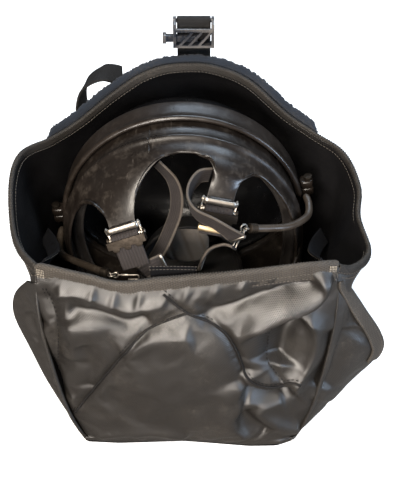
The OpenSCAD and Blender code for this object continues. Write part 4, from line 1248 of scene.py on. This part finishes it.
FRAME_UPPER = [
    (22, 0.4), (22, 2.6), (21.2, 3.8), (19.5, 4.2), (14, 4.0), (8, 3.8), (5, 3.8), (3.2, 4.3), (1.9, 5.1),
    (0.6, 5.5), (-0.6, 5.3), (-1.6, 4.5), (-2.0, 3.4), (-1.6, 2.4), (-0.5, 1.6), (1.2, 0.8), (2.6, 0.4),
]
FRAME_LOWER = [
    (22, 0.4), (22, 2.6), (21.2, 3.8), (19.5, 4.2), (14, 4.0), (12.0, 3.7), (10.8, 2.7), (10.4, 0.4),
]
SPLIT = 5.0


def lens_frame():
    for name, span, profile, node in (
        ("upper_frame", (SPLIT + 0.2, 180 - SPLIT - 0.2), FRAME_UPPER, "lens_frame_upper"),
        ("lower_frame", (180 - SPLIT + 0.2, 360 + SPLIT - 0.2), FRAME_LOWER, "lens_frame_lower"),
    ):
        band = loop_solid(name, np.linspace(*span, 130), LENS_LOW, profile, False)
        lugs = []
        up = node.endswith("upper")
        for s in (-1, 1):
            z0, z1 = (8.4, 13.9) if up else (2.1, 7.6)
            corner = circle(1, 28)
            square = np.sign(corner) * np.abs(corner) ** 0.55 * 4.9
            rings = []
            for z, k in ((z0, 0.93), (z0 + 0.5, 1), (z1 - 1.2, 1), (z1 - 0.3, 0.93), (z1, 0.8)):
                ring = np.stack([s * 95 + k * square[:, 0], 12 + k * square[:, 1], np.full(28, z)], 1)
                rings.append(face(ring))
            lugs.append(skin(f"{name}_lug", np.array(rings)))
        dress(join(name, [band] + lugs), "facepiece", "frame_plastic", node)


def visor():
    """Domed lens with its skirt in the groove of the blank."""
    bulge, squareness = 50, 2 / 2.6
    around = np.arange(0, 360, 3.0)

    def ring(a, d, depth, y0=22):
        s = max(math.cos(math.radians(a)) ** squareness, 0.02)
        x, z = outline(around, d, LENS_LOW)
        y = y0 + depth * math.sin(math.radians(a)) ** squareness
        return face(np.stack([x * s, np.full(len(x), y), z * s], 1))

    steps = np.linspace(88, 0, 23)
    outer = [ring(a, -RUBBER - 0.6, bulge) for a in steps]
    skirt = [ring(0, -RUBBER - 0.6, 0, 12), ring(0, -RUBBER - 3.1, 0, 12)]
    inner = [ring(a, -RUBBER - 3.1, bulge - 2.5) for a in steps[::-1]]
    dress(skin("visor_dome", np.array(outer + skirt + inner)), "facepiece", "visor_clear", "visor")


def seal_lip():
    lip = [
        (-14.0, -2.6), (-13.5, -5), (-13.8, -8), (-14.8, -10.6), (-16.2, -12.0), (-17.0, -11.6),
        (-16.2, -9.6),
        (-15.4, -7.2), (-15.2, -5), (-15.8, -2.6),
    ]
    obj = loop_solid("face_seal_lip", np.linspace(-77, 257, 180), CHIN_LOW, lip, False)
    dress(obj, "facepiece", "seal_rubber", "face_seal")


# Rings of the nose cup: y, half width, height above and depth below its middle line
CUP_RINGS = [(30, 16, 10, 9), (12, 29, 30, 11), (2.5, 34, 36, 13.5), (-2, 36, 39, 22), (-16, 40, 43, 29)]
CUP_Z = -40
CUP_WALL = 2.6


def nose_cup():
    rows = curve(CUP_RINGS, 6)
    a = np.linspace(0, 2 * np.pi, 72, endpoint=False)

    def ring(c, d):
        z = CUP_Z + np.where(np.sin(a) > 0, c[2] - d, c[3] - d) * np.sin(a)
        y = c[0] - (d if c[0] > 20 else 0) + 0 * a
        return face(np.stack([(c[1] - d) * np.cos(a), y, z], 1))

    rings = [ring(c, 0) for c in rows] + [ring(c, CUP_WALL) for c in rows[::-1]]
    dress(skin("nose_cup_shell", np.array(rings)), "facepiece", "cup_rubber", "nose_cup")


# ---------------------------------------------------------------- buckles and harness


def exhale_coil():
    """Spring under the exhalation valve."""
    r, turns, low, rise, wire, lift = 5, 4, -5.6, 6.9, 0.35, 2.05
    a = np.linspace(0, 2 * np.pi * turns, 24 * turns + 1)
    seat = np.array(EXHALE_AT) + (0, 0, RUBBER)
    points = seat + np.stack([r * np.cos(a), r * np.sin(a), low + rise * a / a[-1]], 1)
    coil = tube("exhale_coil", face(points), wire, "facepiece", "steel", "exhale_spring", n=10)
    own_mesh(coil)


def bar(name, at, axis, half, r, n=20):
    """Round bar with softened ends."""
    s = np.array([-1, -0.995, -0.97, 0, 0.97, 0.995, 1.0])
    k = np.array([0.5, 0.85, 1, 1, 1, 0.85, 0.5]) * r
    edge = unit(np.cross(axis, [0.31, 0.17, 0.94]))
    side = np.cross(axis, edge)
    path = at + axis * (s * half)[:, None]
    return skin(name, carried(path, edge, side, circle(1, n)[None] * k[:, None, None]))


def buckle_links():
    """Stamped frames of the temple buckles: side plates, bar, roller pin and a folded front strip."""
    plate_x, plate_t = HALF_LINK, 1.2
    for side in TABS:
        at, x, y, z = buckle_frame(side)
        parts = [bar("bar", at, x, plate_x + plate_t + 0.5, 1.2)]
        parts.append(bar("pin", at - z * LINK_DROP, x, plate_x + 2 * plate_t + 0.7, 1.0))
        top = circle(2.2, 24)
        low = circle(1.9, 24) + [0, -LINK_DROP]
        shape = np.vstack([top[top[:, 1] >= 0], low[low[:, 1] <= -LINK_DROP]])
        for s in (-1, 1):
            rings = []
            for d, k in ((0, 0.9), (0.2, 1), (plate_t - 0.2, 1), (plate_t, 0.9)):
                flat = (shape + [0, LINK_DROP / 2]) * k - [0, LINK_DROP / 2]
                rings.append(at + x * s * (plate_x + d) + flat[:, :1] * y + flat[:, 1:] * z)
            parts.append(skin("plate", np.array(rings)))
        a = np.radians(np.linspace(150, 226, 12))
        arcs = [np.stack([r * np.cos(t), r * np.sin(t)], 1) for r, t in ((3.5, a), (2.8, a[::-1]))]
        profile = np.vstack(arcs)
        s = np.linspace(-1, 1, 9)[:, None]
        parts.append(skin("strip", carried(at + x * (s * (plate_x + 0.3)), y, z, profile)))
        dress(join(f"{side}_buckle_frame", parts), f"{side}_link", "steel", f"{side}_link")


def wrapped_strap(name, frame_of, body, run, *nodes):
    """Webbing that wraps a roller: a short leg behind it and a longer one in front."""
    at, x, y, z = frame_of
    r = ROLLER_R + WRAP_GAP + STRAP_T / 2
    turn = np.radians(np.linspace(0, 180, 17))[:, None]
    over = np.hstack([r * np.cos(turn), -LINK_DROP + r * np.sin(turn)])
    behind = np.array([(r + 0.2, -LINK_DROP - 6.5), (r + 0.1, -LINK_DROP - 3)])
    front = np.array([(-r, -LINK_DROP - run * k) for k in (0.2, 0.45, 0.7, 1.0)])
    flat = spaced(np.vstack([behind, over, front]), 0.8)
    path = at + flat[:, :1] * y + flat[:, 1:] * z
    return ribbon(name, path, x, STRAP_W, STRAP_T, body, "harness", *nodes)


def crimp(name, path, across, w):
    """Folded metal end clip on the last stretch of a strap."""
    tip = spaced(path[-3:], 0.6)
    along = heading(tip)
    side = unit(np.cross(along, across))
    edge = np.cross(side, along)
    rings = carried(tip, edge, side, round_bar(w + 0.8, STRAP_T + 1.2))
    return dress(skin(name, rings), "facepiece", "steel")


CROWN_LEFT = [
    (-8, -24, 69), (0.5, -30, 59), (3, -36, 49), (1, -43, 39), (-4, -50, 31), (-11, -58, 22), (-19, -66, 15),
    (-27, -73, 11),
]
CROWN_RIGHT = [
    (29, -37, 64), (21.5, -41, 66), (15.3, -50, 64), (13.8, -61, 61), (18.6, -71.5, 57.5), (30.3, -78, 53),
    (38.5, -80, 46), (44.5, -79, 38),
]
LEFT_TAIL = [(-25, -79.8, 18), (-21, -80, 21), (-16, -80, 24), (-8.5, -78.5, 26)]
RIGHT_TAIL = [(41, -83, 34), (35, -80, 35), (26, -77, 31), (19.5, -75, 23), (16, -73, 15)]


def harness():
    for side, run in (("left_temple", 22), ("right_temple", 17)):
        wrapped_strap(f"{side}_webbing", buckle_frame(side), f"{side}_link", run, f"{side}_strap")
    for side, points, across, w in (
        ("left", CROWN_LEFT, (0.62, -0.72, 0.3), STRAP_W * 0.7),
        ("right", CROWN_RIGHT, (0, -0.3, 0.95), STRAP_W * 0.65),
        ("left_tail", LEFT_TAIL, (0.3, -0.3, -0.9), STRAP_W * 0.5),
        ("right_tail", RIGHT_TAIL, (0.1, -0.75, 0.65), STRAP_W * 0.65),
    ):
        path = spaced(face(curve(points)), 1.0)
        direction = unit(face_dirs([across]))[0]
        nodes = ("crown_straps",) if side == "left" else ()
        ribbon(f"{side}_crown_strap", path, direction, w, STRAP_T, "facepiece", "harness", *nodes)
        along = heading(path)
        edge = np.cross(unit(np.cross(along, direction)), along)
        for k, s in enumerate((-1, 1)):
            line = path + edge * s * (w / 2 - 0.3)
            tube(f"{side}_crown_edge_{k}", line, 0.95, "facepiece", "harness_edge", n=10)
        crimp(f"{side}_crown_crimp", path, direction, w)
    for s in (-1, 1):
        side = "left" if s < 0 else "right"
        at, x, y, z = cheek_frame(s)
        wrapped_strap(f"{side}_cheek_wrap", (at, x, y, z), "facepiece", 10)
        r = ROLLER_R + WRAP_GAP + STRAP_T / 2
        points = [(-r, -17.2), (-r - 3, -20.2), (-r - 14, -23.2), (-r - 30, -22.2)]
        flat = spaced(curve(points), 1.0)
        path = at + flat[:, :1] * y + flat[:, 1:] * z
        nodes = ("cheek_straps",) if s < 0 else ()
        ribbon(f"{side}_cheek_strap", path, x, STRAP_W, STRAP_T, "facepiece", "harness", *nodes)


def head_pad():
    """Woven crown pad, puffed up by a short simulation, with stitched channels."""
    lo, hi = box_mm("head_pad")
    mid, half = (lo + hi) / 2 + (3, 2, 9), (hi - lo) / 2 * (0.8, 1, 0.86)
    a = np.linspace(0, 2 * np.pi, 56, endpoint=False)
    rings = []
    for t in np.linspace(-0.96, 0.96, 11):
        k = (1 - abs(t) ** 2.6) ** 0.4 * 0.94
        x = np.sign(np.cos(a)) * np.abs(np.cos(a)) ** 0.7 * half[0] * k
        z = np.sign(np.sin(a)) * np.abs(np.sin(a)) ** 0.7 * half[2] * k
        rings.append(np.stack([mid[0] + x, mid[1] + 0.55 * t * half[1] + 0 * a, mid[2] + z], 1))
    obj = skin("crown_pad", np.array(rings))
    add(obj, "REMESH", mode="VOXEL", voxel_size=1.6 * MM)
    shape = obj.evaluated_get(bpy.context.evaluated_depsgraph_get())
    copy = bpy.data.meshes.new_from_object(shape)
    obj.modifiers.clear()
    obj.data = copy
    points = np.array([v.co for v in obj.data.vertices]) / MM
    held = smooth_step(2.2, 0.6, np.abs(points[:, 1] - mid[1])) * smooth_step(
        0.8, 0.95, np.linalg.norm((points - mid)[:, [0, 2]] / half[[0, 2]], axis=1)
    )
    settled(obj, held, 0.0, 1.2, pressure=4.0)
    points = np.array([v.co for v in obj.data.vertices]) / MM
    away = np.abs(((points[:, 0] - mid[0] + 0.3 * (points[:, 2] - mid[2])) + 6) % 12 - 6)
    front = np.sign(points[:, 1] - mid[1])
    points[:, 1] -= front * 1.1 * np.exp(-((away / 1.3) ** 2))
    obj.data.vertices.foreach_set("co", (points * MM).ravel())
    obj.data.polygons.foreach_set("use_smooth", [True] * len(obj.data.polygons))
    obj.data.update()
    add(obj, "SUBSURF", levels=1, render_levels=1)
    dress(obj, "facepiece", "pad", "head_pad")


# ---------------------------------------------------------------- side cords

LEFT_CORD = [(-92.5, -1, 3), (-94, -12, 1), (-91, -30, 2), (-77.5, -49, 9), (-50, -77, 18)]
RIGHT_CORD = [(93.3, -1, 8), (95, -12, 8), (92.5, -27, 9), (80, -43, 15), (66, -52, 22.5), (52, -60, 31)]
CORD_R = 2.7
EYE_STEP, EYE_R = 2.4, 1.6


def side_cords():
    for side, points in (("left", LEFT_CORD), ("right", RIGHT_CORD)):
        path = spaced(face(curve(points, 10)), 1.2)
        r = CORD_R * (1 + 0.02 * wobble(path, 14, 41))
        r[:3] *= (0.72, 0.92, 1.0)
        tube(f"{side}_cord", path, r, "facepiece", "cord_rubber", f"{side}_side_cord", n=24)
        along = heading(path)[-1]
        ring = path[-1] + along * np.linspace(-6, 0.8, 24)[:, None]
        s = np.linspace(0, 1, 24)
        swell = CORD_R + 0.75 - 0.22 * np.cos(2 * np.pi * s * 4) - 1.2 * smooth_step(0.86, 1, s)
        swell -= 0.5 * smooth_step(0.08, 0, s)
        tube(f"{side}_ferrule", ring, swell, "facepiece", "steel_dull", n=24)
        normal = unit(joint_axis(f"{side}_ring_turn"))
        across = unit(np.cross(normal, along))
        turn = np.linspace(0, 2 * np.pi, 33)[:, None]
        eye = path[-1] + along * EYE_STEP
        loop = eye + EYE_R * (np.cos(turn) * along + np.sin(turn) * np.cross(along, across))
        tube(f"{side}_cord_eye", loop[:-1], 0.5, "facepiece", "steel", n=10)


# ---------------------------------------------------------------- CAD nodes that keep their shape

KEPT_BEVEL = {
    "base_board": 0.6, "buckle_socket": 0.45, "buckle_latch": 0.4, "port_housing": 0.4,
    "port_clamp_ring": 0.25,
    "voice_ring": 0.4, "exhale_cover": 0.4, "strap_slide": 0.25,
}


def kept_nodes():
    """Materials and softened edges for the CAD nodes that are shown as they are."""
    slots = {s["node"]: s["material_slot"] for s in frame["record"]["subparts"]}
    for name, obj in frame["nodes"].items():
        if obj.hide_render:
            continue
        obj.data.materials.clear()
        worn = name.endswith("_lever") or name == "frame_screws"
        obj.data.materials.append(material("steel_dull" if worn else slots[name]))
        normals = obj.data.attributes.get("custom_normal")
        if normals is not None:
            obj.data.attributes.remove(normals)
        obj.data.polygons.foreach_set("use_smooth", [True] * len(obj.data.polygons))
        add(obj, "WELD", merge_threshold=0.001 * MM)
        add(obj, "BEVEL", width=KEPT_BEVEL.get(name, 0.18) * MM, segments=2, limit_method="ANGLE",
            angle_limit=math.radians(40))
        add(obj, "EDGE_SPLIT", split_angle=math.radians(40))


# ---------------------------------------------------------------- stage


def area_light(name, at, target, size, power, color):
    data = bpy.data.lights.new(name, "AREA")
    data.shape = "RECTANGLE"
    data.size, data.size_y = size
    data.energy = power
    data.color = color
    obj = bpy.data.objects.new(name, data)
    bpy.context.scene.collection.objects.link(obj)
    obj.location = at
    obj.rotation_euler = (Vector(target) - Vector(at)).to_track_quat("-Z", "Y").to_euler()
    return obj


def stage():
    lo, hi = CAD_BOX
    middle = (lo + hi) / 2
    paint = Paint("floor")
    mm = paint.scaled(paint.node("TexCoord").outputs["Object"], 1 / MM, 1 / MM, 1 / MM)
    seen = paint.node("LightPath").outputs["Is Camera Ray"]
    tone = paint.mix(paint.noise(mm, 180), rgb(0.86, 0.86, 0.86), rgb(0.92, 0.92, 0.92))
    paint.put(color=paint.mix(seen, rgb(0.16, 0.15, 0.14), tone), rough=0.8)
    paint.shader.inputs["Emission Color"].default_value = rgb(1, 1, 1)
    paint.tree.links.new(paint.math("MULTIPLY", seen, 0.45), paint.shader.inputs["Emission Strength"])
    corner = 2200
    floor = make("floor", [(-corner, -corner, -0.5), (corner, -corner, -0.5), (corner, corner, -0.5),
                           (-corner, corner, -0.5)], [(0, 1, 2, 3)])
    floor.data.materials.append(paint.material)
    target = (middle.x, middle.y, middle.z * 0.9)
    area_light("key", (-0.3, -0.8, 1.3), target, (0.6, 0.35), 24, (1.0, 0.91, 0.8))
    area_light("front", (-0.45, -1.65, 0.78), target, (0.7, 0.42), 52, (1.0, 0.92, 0.84))
    area_light("sky", (0.3, 0.8, 1.2), target, (1.0, 0.45), 15, (0.7, 0.84, 1.0))
    area_light("side", (1.2, -0.6, 0.5), target, (0.35, 0.6), 14, (0.62, 0.78, 1.0))
    world = bpy.data.worlds.new("studio")
    world.use_nodes = True
    tree = world.node_tree
    background = tree.nodes["Background"]
    background.inputs["Color"].default_value = rgb(0.96, 0.98, 1.0)
    rays = tree.nodes.new("ShaderNodeLightPath")
    strength = tree.nodes.new("ShaderNodeMapRange")
    strength.inputs["To Min"].default_value = 0.07
    strength.inputs["To Max"].default_value = 1.0
    tree.links.new(rays.outputs["Is Camera Ray"], strength.inputs["Value"])
    tree.links.new(strength.outputs["Result"], background.inputs["Strength"])
    bpy.context.scene.world = world
    bpy.context.scene.view_settings.view_transform = "Standard"


def camera():
    """85 mm lens, 0.85 m away, 40 degrees above the horizon, level with the mouth's middle."""
    elevation, distance = math.radians(40), 0.85
    target = Vector((0.012, 0.010, 0.130))
    back = Vector((0, -math.cos(elevation), math.sin(elevation)))
    data = bpy.data.cameras.new("camera")
    data.lens = 85
    data.sensor_width = 36
    data.clip_start = 0.01
    obj = bpy.data.objects.new("camera", data)
    bpy.context.scene.collection.objects.link(obj)
    obj.location = target + back * distance
    obj.rotation_euler = (-back).to_track_quat("-Z", "Y").to_euler()
    bpy.context.scene.camera = obj


# ---------------------------------------------------------------- the whole

cloth_tree = front_cloth()
front_seams(cloth_tree)
bindings()
corner_tacks()
ear_hem()
hood_seams(*hood())
fleece()
closure_tapes()
label()
loop_and_webbing()
base()
face_blank()
lens_frame()
visor()
seal_lip()
nose_cup()
exhale_coil()
buckle_links()
harness()
head_pad()
side_cords()
kept_nodes()
stage()
camera()
